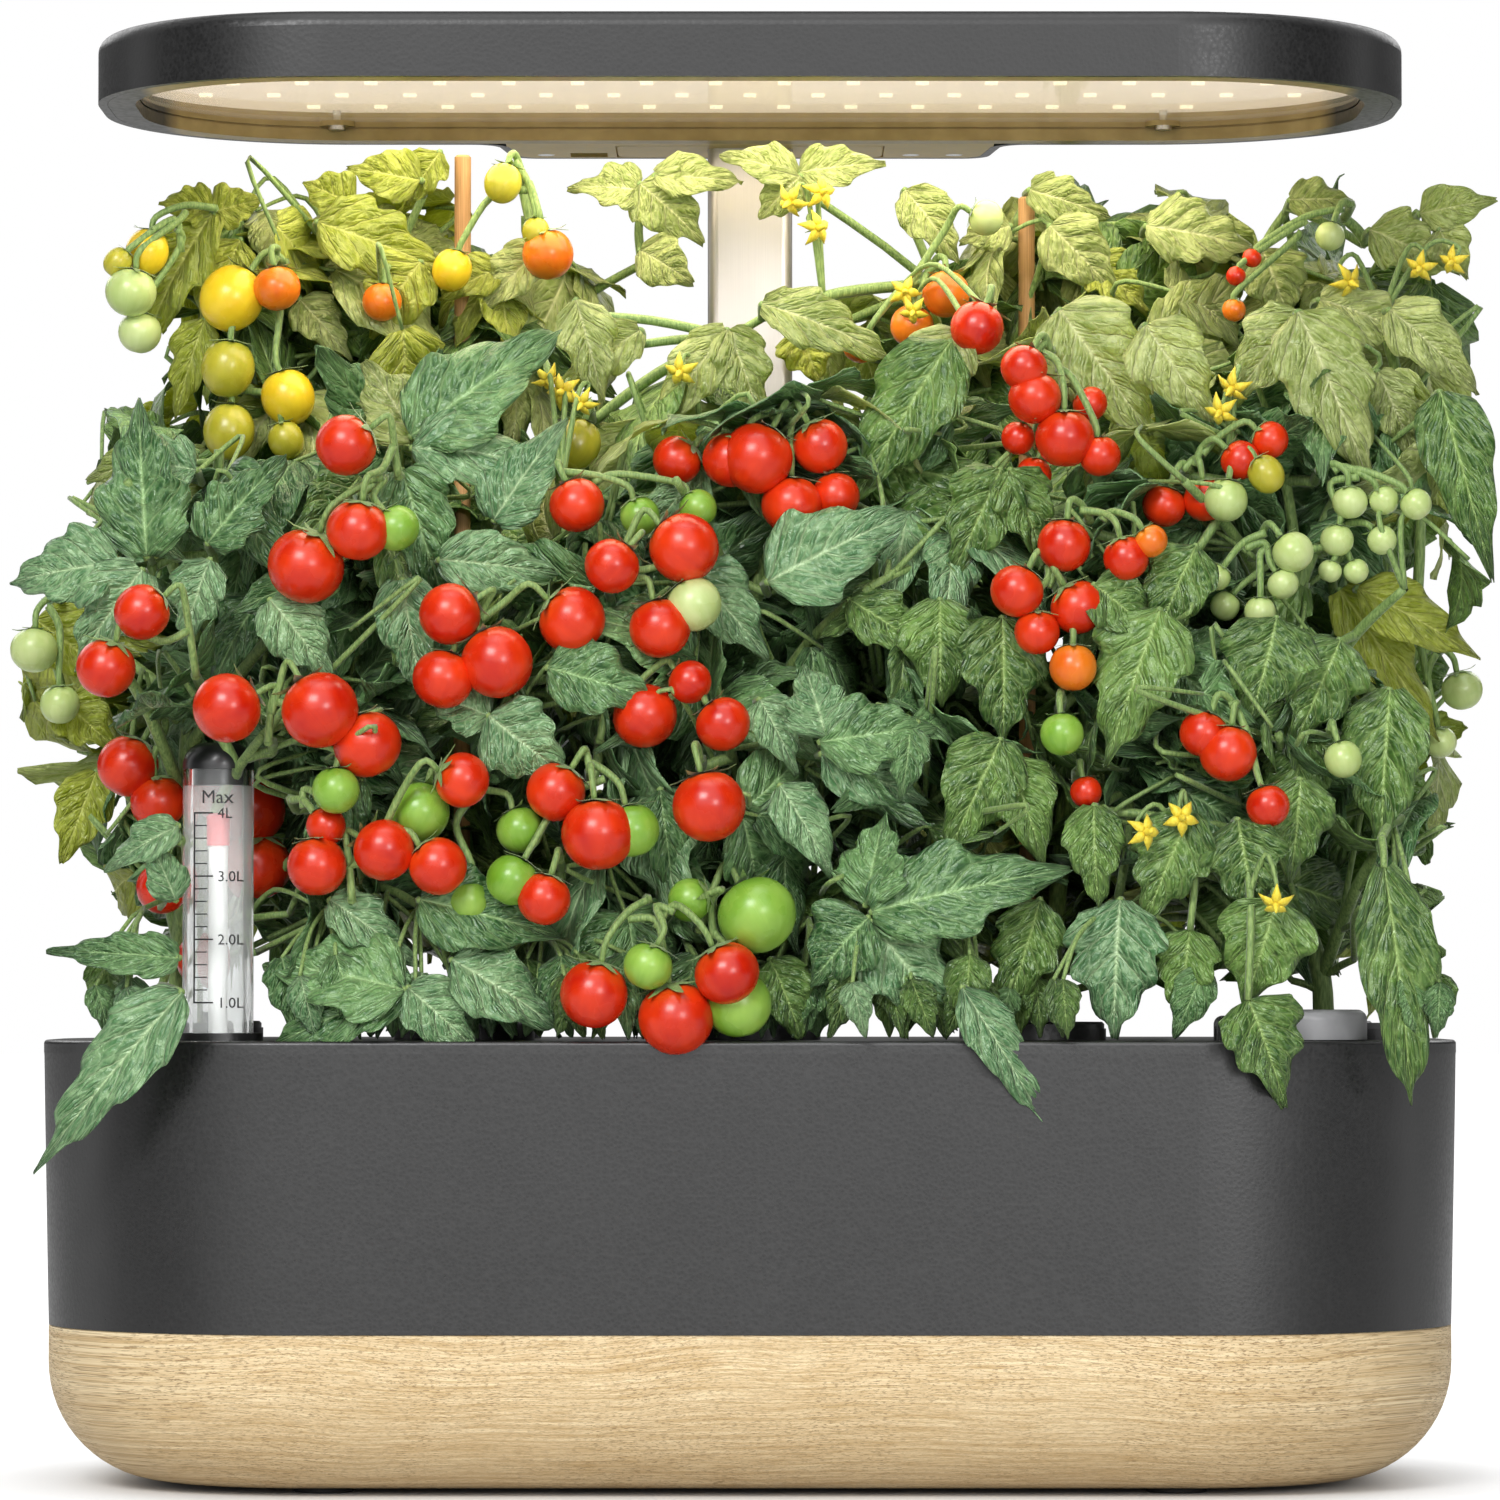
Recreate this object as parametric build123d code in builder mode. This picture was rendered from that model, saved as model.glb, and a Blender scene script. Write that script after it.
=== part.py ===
"""Countertop hydroponic garden: a water tank, a planting deck with ten pods and a lamp on a telescopic pole.

Millimetres. +Z is up, the front faces -Y, +X is to the right seen from the front, and the origin is the
middle of the footprint on the counter.
"""

import os
from math import atan, cos, degrees, pi, radians, sin, sqrt

from build123d import *

os.makedirs("parts", exist_ok=True)

# ---------------------------------------------------------------- driving dimensions

# Tank and its wood-look base shell
tank_length = 381.0
tank_depth = 185.0
corner_radius = 74.0
deck_top = 119.5  # top face of the planting deck above the counter
seam_height = 43.3  # where the dark tank meets the wood-look shell
side_lean = 1.5  # how far each side leans in between the deck and the seam
base_fillet = 32.0
foot_height = 1.5
foot_radius = 8.0
foot_inset = 44.0  # from the ends of the base to the feet
shell_wall = 2.5
tank_wall = 2.6
nest_gap = 0.3  # between the tub and the base shell around it
seam_chamfer = 0.5
slide_fit = 0.3  # each side of pieces that slide or drop into one another
screw_radius = 1.5
screw_head_radius = 2.8
screw_head_height = 1.2
screw_boss_wall = 3.0
screw_length = 7.0
base_screw_end_inset = 60.5
base_screw_side_inset = 56.5

# Planting deck
deck_edge = 3.4
deck_round = 1.0
skirt_depth = 8.0
skirt_wall = 2.0
skirt_gap = 0.5
pod_columns = 5
pod_end_margin = 36.5  # from the ends of the deck to the middle of the outer pods
front_row_margin = 68.5  # from the front edge, clear of the gauge and the inlet
rear_row_margin = 62.5  # from the back edge, clear of the pole
pod_hole_radius = 16.5
collar_wall = 2.5
collar_height = 3.0

# Grow baskets, sponges and pod caps
basket_flange = 1.5
basket_flange_radius = 18.5
basket_depth = 46.0
basket_foot_radius = 11.5
basket_wall = 1.3
basket_slots = 6
basket_slot_width = 4.0
basket_slot_height = 26.0
basket_drain_radius = 5.0
sponge_gap = 0.4
sponge_height = 36.0
cap_thickness = 1.8
cap_plug_depth = 2.8
cap_plug_wall = 1.6
grip_length = 16.0
grip_width = 3.0
grip_height = 2.5

# Water gauge
gauge_end_inset = 49.5  # from the left end of the tank
gauge_front_inset = 36.5
gauge_radius = 9.5
gauge_bore = 6.8
gauge_height = 71.9  # from the deck to the top of the clear tube
gauge_collar_wall = 2.5
gauge_collar_height = 2.0
gauge_cap_dome = 7.0
gauge_cap_round = 6.0
gauge_plug_depth = 4.3
gauge_plug_fit = 0.1
bush_height = 6.0
stem_radius = 2.55
tip_radius = 3.1
tip_height = 8.6
full_mark = 60.2  # tip of the float stem above the deck with four litres in the tank
litre_rise = 16.73  # what one litre lifts the water
litre_count = 4
float_radius = 9.5
float_height = 12.0

# Water inlet with its hinged cap
inlet_end_inset = 44.5  # from the right end of the tank
inlet_front_inset = 31.5
inlet_bore = 12.5
inlet_neck_wall = 2.0
inlet_neck_height = 3.4
inlet_cap_radius = 17.0
inlet_cap_height = 7.9
inlet_cap_wall = 1.6
inlet_cap_crown = 2.6
inlet_cap_round = 2.6
inlet_cap_lift = 0.3  # under the cap's skirt
hinge_reach = 3.6  # from the cap's side to the hinge pin
hinge_height = 4.2  # hinge pin above the deck
hinge_pin_radius = 0.9
hinge_running_fit = 0.08
hinge_knuckle_radius = 2.4
hinge_knuckle_length = 8.0
hinge_lug_length = 3.5
hinge_side_gap = 0.3

# Circulation pump
pump_x = 0.0
pump_y = 30.0
pump_width = 40.0
pump_depth = 30.0
pump_height = 34.0
pump_round = 4.0
cup_height = 4.0
cup_radius = 6.0
cup_stud_radius = 2.0
volute_radius = 12.0
volute_depth = 8.0
rotor_bore = 7.0
rotor_depth = 20.0
rotor_gap = 0.5
shaft_radius = 1.0
shaft_fit = 0.06
blade_count = 6
blade_thickness = 1.2
blade_height = 5.0
blade_tip_gap = 2.0
impeller_disc = 1.5
volute_plate_thickness = 2.0
intake_radius = 6.0
intake_depth = 12.0
intake_wall = 1.6
intake_slots = 6
intake_slot_width = 2.4
intake_slot_pitch = 5.2
filter_gap = 0.5
outlet_radius = 4.5
outlet_bore = 3.2
outlet_height = 14.0

# Telescopic pole
pole_back_inset = 20.0  # from the back edge of the tank to the middle of the pole
pole_width = 24.0
pole_thick = 14.0
pole_round = 3.0
pole_wall = 1.8
outer_wall = 2.0
outer_height = 130.0  # outer tube above the deck
socket_wall = 4.0
socket_height = 8.0
socket_depth = 8.0
socket_floor = 2.0
pole_overlap = 115.0  # of the inner tube in the outer one, with the lamp where it stands here
pole_collar_wall = 1.8
pole_collar_height = 9.0

# Lamp
lamp_length = 352.0
lamp_depth = 148.0
lamp_radius = 64.0
lamp_forward = 89.0  # the middle of the lamp stands this far in front of the pole
lamp_bottom = 371.5
lamp_thickness = 17.5
lamp_wall = 2.5
lamp_top_wall = 2.0
lamp_round = 4.0
rim_width = 10.0
lens_recess = 5.2
lens_thickness = 1.5
lens_seat = 2.0
lens_fit = 0.2
case_fit = 0.1
light_gap = 1.4  # from the lens to the board that carries the diodes
board_thickness = 1.6
board_margin = 6.0  # the diode board stays this far inside the outer wall
rim_groove = 0.6
rim_groove_height = 3.2
tab_x = 116.0
tab_radius = 5.0
tab_thickness = 1.4
bump_root = 143.0
bump_width = 135.4
bump_behind_pole = 18.0  # rear face of the lamp's control housing
bump_round = 8.0
cover_thickness = 2.0
pole_plate_width = 76.0
pole_plate_depth = 27.0
pole_plate_shift = 1.0

# Diodes
led_pitch = 18.75
led_row_pitch = 25.5
led_length = 3.5
led_width = 2.8
led_height = 0.7
led_margin = 10.0  # from the middle of a diode to the edge of the lamp's opening

# Controls in the lamp
bracket_width = 100.0
bracket_depth = 20.0
bracket_thickness = 1.5
bracket_rise = 8.0  # underside of the pole bracket above the lamp's lower face
control_width = 70.0
control_depth = 20.0
control_rise = 10.4
control_thickness = 1.6
switch_size = 6.0
switch_height = 1.3
button_pitch = 22.0
button_radius = 4.8
button_flange = 1.2
button_sunk = 0.2
button_travel = 1.0
button_fit = 0.2
button_recess = 0.8
post_radius = 2.5
jack_inset = 4.0  # from the end of the pole bracket to the middle of the power socket
socket_behind_pole = 9.1  # the power socket and the cover screws stand in one line
jack_size = 10.6
jack_lip = 0.5
jack_wall = 1.2
jack_height = 5.6
jack_barrel = 3.2
jack_pin = 1.0
jack_depth = 4.4
cover_screw_x = 58.3
cover_screw_extra_x = 46.0
small_screw_radius = 1.1
small_head_radius = 2.4
small_head_height = 1.2
small_screw_length = 4.5

# Plants and their stakes
leaf_side_reach = 200.0
leaf_front_reach = 104.0
leaf_gap = 1.0
leaf_pole_gap = 4.0
leaf_lamp_gap = 5.5
front_leaf_rise = 192.0  # front plants above the deck
leaf_bottom_rise = 20.0  # lowest leaves above the deck
leaf_clear_gauge = 5.5
leaf_clear_cap = 4.0
plant_stem_radius = 3.2
plant_stem_offset = 6.5
clump_reach = 27.0  # from the middle of a branch's leaf clump to its rim
clump_thickness = 38.0
clump_lean = 40.0  # degrees that a clump faces outwards from straight up
clump_sides = 7
front_branches = 5  # branches in each ring of a front plant
rear_branches = 7
stake_radius = 2.3
stake_fit = 0.15
stake_depth = 28.0
left_stake_rise = 245.7
right_stake_rise = 234.0
left_stake_offset = -3.0

# ---------------------------------------------------------------- levels and places worked out from them

draft = degrees(atan(side_lean / (deck_top - seam_height)))
deck_under = deck_top - deck_edge
seam_length = tank_length - 2 * side_lean
seam_depth = tank_depth - 2 * side_lean
seam_radius = corner_radius - side_lean
shell_floor = foot_height + shell_wall
tub_under = shell_floor + nest_gap
tub_inset = shell_wall + nest_gap
tub_floor = tub_under + tank_wall
collar_top = deck_top + collar_height
pod_collar_radius = pod_hole_radius + collar_wall
pod_pitch = (tank_length - 2 * pod_end_margin) / (pod_columns - 1)
front_row = -tank_depth / 2 + front_row_margin
rear_row = tank_depth / 2 - rear_row_margin
rows_centre = (front_row + rear_row) / 2
row_pitch = rear_row - front_row
base_screw_x = tank_length / 2 - base_screw_end_inset
base_screw_y = tank_depth / 2 - base_screw_side_inset
gauge_x = -tank_length / 2 + gauge_end_inset
gauge_y = -tank_depth / 2 + gauge_front_inset
inlet_x = tank_length / 2 - inlet_end_inset
inlet_y = -tank_depth / 2 + inlet_front_inset
pole_y = tank_depth / 2 - pole_back_inset

lens_under = lamp_bottom + lens_recess
lens_top = lens_under + lens_thickness
board_under = lens_top + light_gap
lamp_top = lamp_bottom + lamp_thickness
lamp_y = pole_y - lamp_forward
lamp_back = lamp_y + lamp_depth / 2
bump_back = pole_y + bump_behind_pole
jack_x = -bracket_width / 2 + jack_inset
socket_y = pole_y + socket_behind_pole
outer_bore_width = pole_width + 2 * slide_fit
outer_bore_thick = pole_thick + 2 * slide_fit
outer_bore_round = pole_round + slide_fit
outer_width = outer_bore_width + 2 * outer_wall
outer_thick = outer_bore_thick + 2 * outer_wall
outer_round = outer_bore_round + outer_wall
outer_top = deck_top + outer_height
outer_foot = deck_under - socket_depth
bracket_under = lamp_bottom + bracket_rise
control_under = lamp_bottom + control_rise
control_top = control_under + control_thickness
ceiling = lamp_top - lamp_top_wall


def save(piece, name):
    """Label a finished piece and write it as its own STEP file."""
    piece.label = name
    export_step(piece, f"parts/{name}.step")


# ---------------------------------------------------------------- tank

with BuildPart() as tub_cavity:
    with BuildSketch(Plane.XY.offset(tub_floor)):
        cavity_inset = tub_inset + tank_wall
        RectangleRounded(
            seam_length - 2 * cavity_inset, seam_depth - 2 * cavity_inset, seam_radius - cavity_inset
        )
    extrude(amount=seam_height - tub_floor + tank_wall)
    fillet(tub_cavity.faces().sort_by(Axis.Z)[0].edges(), base_fillet - cavity_inset)
    with BuildSketch(Plane.XY.offset(seam_height + tank_wall)):
        RectangleRounded(seam_length - 2 * tank_wall, seam_depth - 2 * tank_wall, seam_radius - tank_wall)
    extrude(amount=deck_under - seam_height - tank_wall, taper=-draft)

with BuildPart() as water_tank:
    with BuildSketch(Plane.XY.offset(tub_under)):
        RectangleRounded(seam_length - 2 * tub_inset, seam_depth - 2 * tub_inset, seam_radius - tub_inset)
    extrude(amount=seam_height - tub_under)
    fillet(water_tank.faces().sort_by(Axis.Z)[0].edges(), base_fillet - tub_inset)
    with BuildSketch(Plane.XY.offset(seam_height)):
        RectangleRounded(seam_length, seam_depth, seam_radius)
    extrude(amount=deck_under - seam_height, taper=-draft)
    add(tub_cavity.part, mode=Mode.SUBTRACT)
    with BuildSketch(Plane.XY.offset(shell_floor)):
        with GridLocations(2 * base_screw_x, 2 * base_screw_y, 2, 2):
            Circle(screw_radius + screw_boss_wall)
    extrude(amount=tub_floor - shell_floor + screw_length - shell_wall)
    with BuildSketch(Plane.XY.offset(shell_floor)):
        with GridLocations(2 * base_screw_x, 2 * base_screw_y, 2, 2):
            Circle(screw_radius)
    extrude(amount=screw_length - shell_wall, mode=Mode.SUBTRACT)
save(water_tank.part, "water_tank")

with BuildPart() as base_cavity:
    with BuildSketch(Plane.XY.offset(shell_floor)):
        RectangleRounded(seam_length - 2 * shell_wall, seam_depth - 2 * shell_wall, seam_radius - shell_wall)
    extrude(amount=seam_height - shell_floor)
    fillet(base_cavity.faces().sort_by(Axis.Z)[0].edges(), base_fillet - shell_wall)

with BuildPart() as base_shell:
    with BuildSketch(Plane.XY.offset(foot_height)):
        RectangleRounded(seam_length, seam_depth, seam_radius)
    extrude(amount=seam_height - foot_height)
    fillet(base_shell.faces().sort_by(Axis.Z)[0].edges(), base_fillet)
    chamfer(base_shell.faces().sort_by(Axis.Z)[-1].edges(), seam_chamfer)
    add(base_cavity.part, mode=Mode.SUBTRACT)
    with BuildSketch(Plane.XY.offset(foot_height)):
        with GridLocations(2 * base_screw_x, 2 * base_screw_y, 2, 2):
            Circle(screw_radius + slide_fit)
    extrude(amount=shell_wall, mode=Mode.SUBTRACT)
save(base_shell.part, "base_shell")

with BuildPart() as feet:
    with BuildSketch():
        with GridLocations(
            seam_length - 2 * base_fillet - 2 * foot_inset, seam_depth - 2 * base_fillet - 2 * foot_radius, 2, 2
        ):
            Circle(foot_radius)
    extrude(amount=foot_height)
    chamfer(feet.faces().group_by(Axis.Z)[0].edges(), foot_height / 4)
save(feet.part, "feet")

with BuildPart() as base_screws:
    with BuildSketch(Plane.XY.offset(foot_height)):
        with GridLocations(2 * base_screw_x, 2 * base_screw_y, 2, 2):
            Circle(screw_radius)
    extrude(amount=screw_length)
    with BuildSketch(Plane.XY.offset(foot_height)):
        with GridLocations(2 * base_screw_x, 2 * base_screw_y, 2, 2):
            Circle(screw_head_radius)
    extrude(amount=-screw_head_height)
save(base_screws.part, "base_screws")

# ---------------------------------------------------------------- planting deck

hinge_x = inlet_x - inlet_cap_radius - hinge_reach
hinge_z = deck_top + hinge_height
lug_middle = hinge_knuckle_length / 2 + hinge_side_gap + hinge_lug_length / 2
bush_collar_radius = gauge_radius + gauge_collar_wall
neck_radius = inlet_bore + inlet_neck_wall

with BuildPart() as planting_deck:
    with BuildSketch(Plane.XY.offset(deck_under)):
        RectangleRounded(tank_length, tank_depth, corner_radius)
    extrude(amount=deck_edge)
    fillet(planting_deck.faces().sort_by(Axis.Z)[-1].edges(), deck_round)
    skirt_inset = tank_wall + skirt_gap
    with BuildSketch(Plane.XY.offset(deck_under)):
        RectangleRounded(
            tank_length - 2 * skirt_inset, tank_depth - 2 * skirt_inset, corner_radius - skirt_inset
        )
        inner_inset = skirt_inset + skirt_wall
        RectangleRounded(
            tank_length - 2 * inner_inset,
            tank_depth - 2 * inner_inset,
            corner_radius - inner_inset,
            mode=Mode.SUBTRACT,
        )
    extrude(amount=-skirt_depth)
    # raised collars: pods, gauge, inlet neck and pole socket
    with BuildSketch(Plane.XY.offset(deck_top)):
        with Locations((0, rows_centre)):
            with GridLocations(pod_pitch, row_pitch, pod_columns, 2):
                Circle(pod_collar_radius)
    extrude(amount=collar_height)
    with BuildSketch(Plane.XY.offset(deck_top)):
        with Locations((gauge_x, gauge_y)):
            Circle(bush_collar_radius)
    extrude(amount=gauge_collar_height)
    with BuildSketch(Plane.XY.offset(deck_top)):
        with Locations((inlet_x, inlet_y)):
            Circle(neck_radius)
    extrude(amount=inlet_neck_height)
    with BuildSketch(Plane.XY.offset(outer_foot - socket_floor)):
        with Locations((0, pole_y)):
            RectangleRounded(
                outer_width + 2 * socket_wall, outer_thick + 2 * socket_wall, outer_round + socket_wall
            )
    extrude(amount=deck_top + socket_height - outer_foot + socket_floor)
    # hinge lugs beside the inlet
    with BuildSketch(Plane.XZ.offset(-inlet_y)):
        with Locations((hinge_x, hinge_z)):
            Circle(hinge_knuckle_radius)
        with Locations((hinge_x, deck_top + hinge_height / 2)):
            Rectangle(2 * hinge_knuckle_radius, hinge_height)
    extrude(amount=lug_middle + hinge_lug_length / 2, both=True)
    with BuildSketch(Plane.XZ.offset(-inlet_y)):
        with Locations((hinge_x, deck_top + hinge_height)):
            Rectangle(6 * hinge_knuckle_radius, 2 * hinge_height)
    extrude(amount=hinge_knuckle_length / 2 + hinge_side_gap, both=True, mode=Mode.SUBTRACT)
    # holes
    with BuildSketch(Plane.XY.offset(deck_under)):
        with Locations((0, rows_centre)):
            with GridLocations(pod_pitch, row_pitch, pod_columns, 2):
                Circle(pod_hole_radius)
        with Locations((inlet_x, inlet_y)):
            Circle(inlet_bore)
        with Locations((gauge_x, gauge_y)):
            Circle(gauge_radius)
    extrude(amount=deck_edge + collar_height + inlet_neck_height, mode=Mode.SUBTRACT)
    with BuildSketch(Plane.XY.offset(outer_foot)):
        with Locations((0, pole_y)):
            RectangleRounded(outer_width + 2 * case_fit, outer_thick + 2 * case_fit, outer_round + case_fit)
    extrude(amount=deck_top + socket_height - outer_foot, mode=Mode.SUBTRACT)
    with BuildSketch(Plane.XZ.offset(-inlet_y)):
        with Locations((hinge_x, hinge_z)):
            Circle(hinge_pin_radius)
    extrude(amount=lug_middle + hinge_lug_length, both=True, mode=Mode.SUBTRACT)
save(planting_deck.part, "planting_deck")

# ---------------------------------------------------------------- baskets, sponges and pod caps

with BuildPart() as basket_blank:
    with BuildSketch(Plane.XZ):
        with BuildLine():
            neck = pod_hole_radius - slide_fit
            Polyline(
                (0, collar_top - basket_depth),
                (basket_foot_radius, collar_top - basket_depth),
                (neck, collar_top - basket_slot_height / 3),
                (neck, collar_top),
                (basket_flange_radius, collar_top),
                (basket_flange_radius, collar_top + basket_flange),
                (neck - basket_wall, collar_top + basket_flange),
                (neck - basket_wall, collar_top - basket_slot_height / 3),
                (basket_foot_radius - basket_wall, collar_top - basket_depth + basket_wall),
                (0, collar_top - basket_depth + basket_wall),
                close=True,
            )
        make_face()
    revolve(axis=Axis.Z)
    slot_middle = collar_top - basket_depth + basket_slot_height / 2 + 2 * basket_wall
    with BuildSketch(Plane.XY.offset(slot_middle - basket_slot_height / 2)):
        with PolarLocations(pod_hole_radius, basket_slots):
            Rectangle(2 * pod_hole_radius - basket_foot_radius, basket_slot_width)
    extrude(amount=basket_slot_height, mode=Mode.SUBTRACT)
    with BuildSketch(Plane.XY.offset(collar_top - basket_depth)):
        Circle(basket_drain_radius)
    extrude(amount=basket_wall, mode=Mode.SUBTRACT)

sponge_foot = collar_top - basket_depth + basket_wall + sponge_gap
sponge_foot_radius = basket_foot_radius - basket_wall - sponge_gap

with BuildPart() as sponge_blank:
    with BuildSketch(Plane.XY.offset(sponge_foot)):
        Circle(sponge_foot_radius)
    with BuildSketch(Plane.XY.offset(sponge_foot + sponge_height)):
        Circle(sponge_foot_radius + sponge_height / basket_depth)
    loft()

with BuildPart() as cap_blank:
    with BuildSketch(Plane.XY.offset(collar_top)):
        Circle(basket_flange_radius)
    extrude(amount=cap_thickness)
    chamfer(cap_blank.faces().sort_by(Axis.Z)[-1].edges(), cap_thickness / 3)
    with BuildSketch(Plane.XY.offset(collar_top)):
        Circle(pod_hole_radius - slide_fit)
        Circle(pod_hole_radius - slide_fit - cap_plug_wall, mode=Mode.SUBTRACT)
    extrude(amount=-cap_plug_depth)
    with BuildSketch(Plane.XY.offset(collar_top + cap_thickness)):
        SlotOverall(grip_length, grip_width)
    extrude(amount=grip_height)

# A plant stands in every second pod, so that each one has room; the other pods are closed by caps.
planted = []
capped = []
for row, row_y in enumerate((front_row, rear_row)):
    for column in range(pod_columns):
        pod_x = (column - (pod_columns - 1) / 2) * pod_pitch
        if (row + column) % 2 == 0:
            planted.append((pod_x, row_y))
        else:
            capped.append((pod_x, row_y))

for number, (pod_x, pod_y) in enumerate(planted, start=1):
    save(basket_blank.part.moved(Location((pod_x, pod_y, 0))), f"grow_basket_{number}")

for number, (pod_x, pod_y) in enumerate(capped, start=1):
    save(cap_blank.part.moved(Location((pod_x, pod_y, 0))), f"pod_cap_{number}")

# ---------------------------------------------------------------- plants

sponge_top = sponge_foot + sponge_height
leaf_bottom = deck_top + leaf_bottom_rise
front_leaf_top = deck_top + front_leaf_rise
rear_leaf_top = lamp_bottom - leaf_lamp_gap
row_split = rows_centre
pole_half = outer_width / 2 + pole_collar_wall + leaf_pole_gap
# share of the height and of the width: the dense middle of a plant, from its lowest leaves to its top
core_profile = ((0.0, 0.2), (0.12, 0.5), (0.4, 0.7), (0.76, 0.62), (0.95, 0.25))
core_sides = 10
# share of the height and of the spread: each ring of branches, and the tip
branch_rings = ((0.1, 0.7), (0.33, 1.0), (0.57, 1.0), (0.79, 0.8))
tip_share = 0.9
# share of the thickness and of the reach: a leaf clump, from below
clump_profile = ((-0.5, 0.25), (-0.12, 0.95), (0.14, 1.0), (0.5, 0.35))


def core_ring(middle_x, middle_y, half_x, half_y):
    """Corners of one level of a plant's dense middle, a many-sided oval."""
    corners = []
    for step in range(core_sides):
        turn = 2 * pi * step / core_sides
        corners.append((middle_x + half_x * cos(turn), middle_y + half_y * sin(turn)))
    return corners


def clump_planes(middle_x, middle_y, half_x, half_y, low, high, branches):
    """Where the leaf clumps of a plant lie and face: rings round its middle, each ring turned by half a step."""
    planes = [Plane(origin=(middle_x, middle_y, low + tip_share * (high - low)))]
    lean = radians(clump_lean)
    for ring, (level, spread) in enumerate(branch_rings):
        for branch in range(branches):
            turn = 2 * pi * (branch + ring / 2) / branches
            drop = clump_thickness / 4 * cos(3 * turn + ring)
            planes.append(
                Plane(
                    origin=(
                        middle_x + (half_x - clump_reach * cos(lean)) * spread * cos(turn),
                        middle_y + (half_y - clump_reach * cos(lean)) * spread * sin(turn),
                        low + level * (high - low) - drop,
                    ),
                    x_dir=(-sin(turn), cos(turn), 0),
                    z_dir=(cos(turn) * sin(lean), sin(turn) * sin(lean), cos(lean)),
                )
            )
    return planes


with BuildPart() as clump_blank:
    for level, width in clump_profile:
        with BuildSketch(Plane.XY.offset(level * clump_thickness)):
            RegularPolygon(width * clump_reach, clump_sides)
    loft(ruled=True)

# cell of each plant: left, right, front, back, top
front_split = pod_pitch
plant_cells = (
    (-leaf_side_reach, -front_split - leaf_gap, -leaf_front_reach, row_split - leaf_gap, front_leaf_top),
    (-front_split + leaf_gap, front_split - leaf_gap, -leaf_front_reach, row_split - leaf_gap, front_leaf_top),
    (front_split + leaf_gap, leaf_side_reach, -leaf_front_reach, row_split - leaf_gap, front_leaf_top),
    (-leaf_side_reach, -pole_half, row_split + leaf_gap, leaf_front_reach, rear_leaf_top),
    (pole_half, leaf_side_reach, row_split + leaf_gap, leaf_front_reach, rear_leaf_top),
)
# x offset of the stake in its pod and its height above the deck, where a plant has one
stakes = (None, None, None, (left_stake_offset, left_stake_rise), (0.0, right_stake_rise))

for number, ((pod_x, pod_y), cell, stake) in enumerate(zip(planted, plant_cells, stakes), start=1):
    left, right, front, back, top = cell
    stem_x = pod_x + (plant_stem_offset if stake else 0)
    middle_x = (left + right) / 2
    middle_y = (front + back) / 2
    half_x = (right - left) / 2
    half_y = (back - front) / 2
    branches = rear_branches if stake else front_branches
    with BuildPart() as plant:
        for level, width in core_profile:
            lean = min(1.0, 2.5 * level)
            core_x = stem_x + (middle_x - stem_x) * lean
            core_y = pod_y + (middle_y - pod_y) * lean
            with BuildSketch(Plane.XY.offset(leaf_bottom + level * (top - leaf_bottom))):
                Polygon(*core_ring(core_x, core_y, width * half_x, width * half_y), align=None)
        loft(ruled=True)
        places = clump_planes(middle_x, middle_y, half_x, half_y, leaf_bottom, top, branches)
        add([clump_blank.part.moved(place.location) for place in places])
        # no clump reaches past its plant's own room
        with BuildSketch(Plane.XY.offset(leaf_bottom)):
            with Locations((middle_x, middle_y)):
                Rectangle(right - left, back - front)
        extrude(amount=top - leaf_bottom, mode=Mode.INTERSECT)
        with BuildSketch(Plane.XY.offset(sponge_top)):
            with Locations((stem_x, pod_y)):
                Circle(plant_stem_radius)
        extrude(amount=leaf_bottom - sponge_top + plant_stem_radius)
        # leaves leave the gauge and the opened inlet cap free to see and reach
        with BuildSketch(Plane.XY.offset(deck_top)):
            with Locations((gauge_x, gauge_y - leaf_front_reach / 2)):
                Rectangle(
                    2 * (gauge_radius + leaf_clear_gauge),
                    2 * (gauge_radius + leaf_clear_gauge) + leaf_front_reach,
                )
        extrude(amount=gauge_height + gauge_cap_dome + leaf_clear_gauge, mode=Mode.SUBTRACT)
        with BuildSketch(Plane.XY.offset(deck_top)):
            with Locations((inlet_x - inlet_cap_radius, inlet_y - leaf_front_reach / 2)):
                Rectangle(
                    4 * (inlet_cap_radius + leaf_clear_cap),
                    2 * (inlet_cap_radius + leaf_clear_cap) + leaf_front_reach,
                )
        extrude(amount=2 * inlet_cap_radius + hinge_height + 2 * leaf_clear_cap, mode=Mode.SUBTRACT)
        if stake:
            with BuildSketch(Plane.XY.offset(deck_top)):
                with Locations((pod_x + stake[0], pod_y)):
                    Circle(stake_radius + stake_fit)
            extrude(amount=lamp_bottom - deck_top, mode=Mode.SUBTRACT)
    save(plant.part, f"tomato_plant_{number}")

    with BuildPart() as sponge:
        add(sponge_blank.part.moved(Location((pod_x, pod_y, 0))))
        if stake:
            with BuildSketch(Plane.XY.offset(sponge_top)):
                with Locations((pod_x + stake[0], pod_y)):
                    Circle(stake_radius + stake_fit)
            extrude(amount=-stake_depth, mode=Mode.SUBTRACT)
    save(sponge.part, f"grow_sponge_{number}")

    if stake:
        with BuildPart() as plant_stake:
            with BuildSketch(Plane.XY.offset(sponge_top - stake_depth)):
                with Locations((pod_x + stake[0], pod_y)):
                    Circle(stake_radius)
            extrude(amount=deck_top + stake[1] - sponge_top + stake_depth)
            chamfer(plant_stake.faces().sort_by(Axis.Z)[-1].edges(), stake_radius / 4)
        save(plant_stake.part, "left_stake" if pod_x < 0 else "right_stake")

# ---------------------------------------------------------------- water gauge

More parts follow.
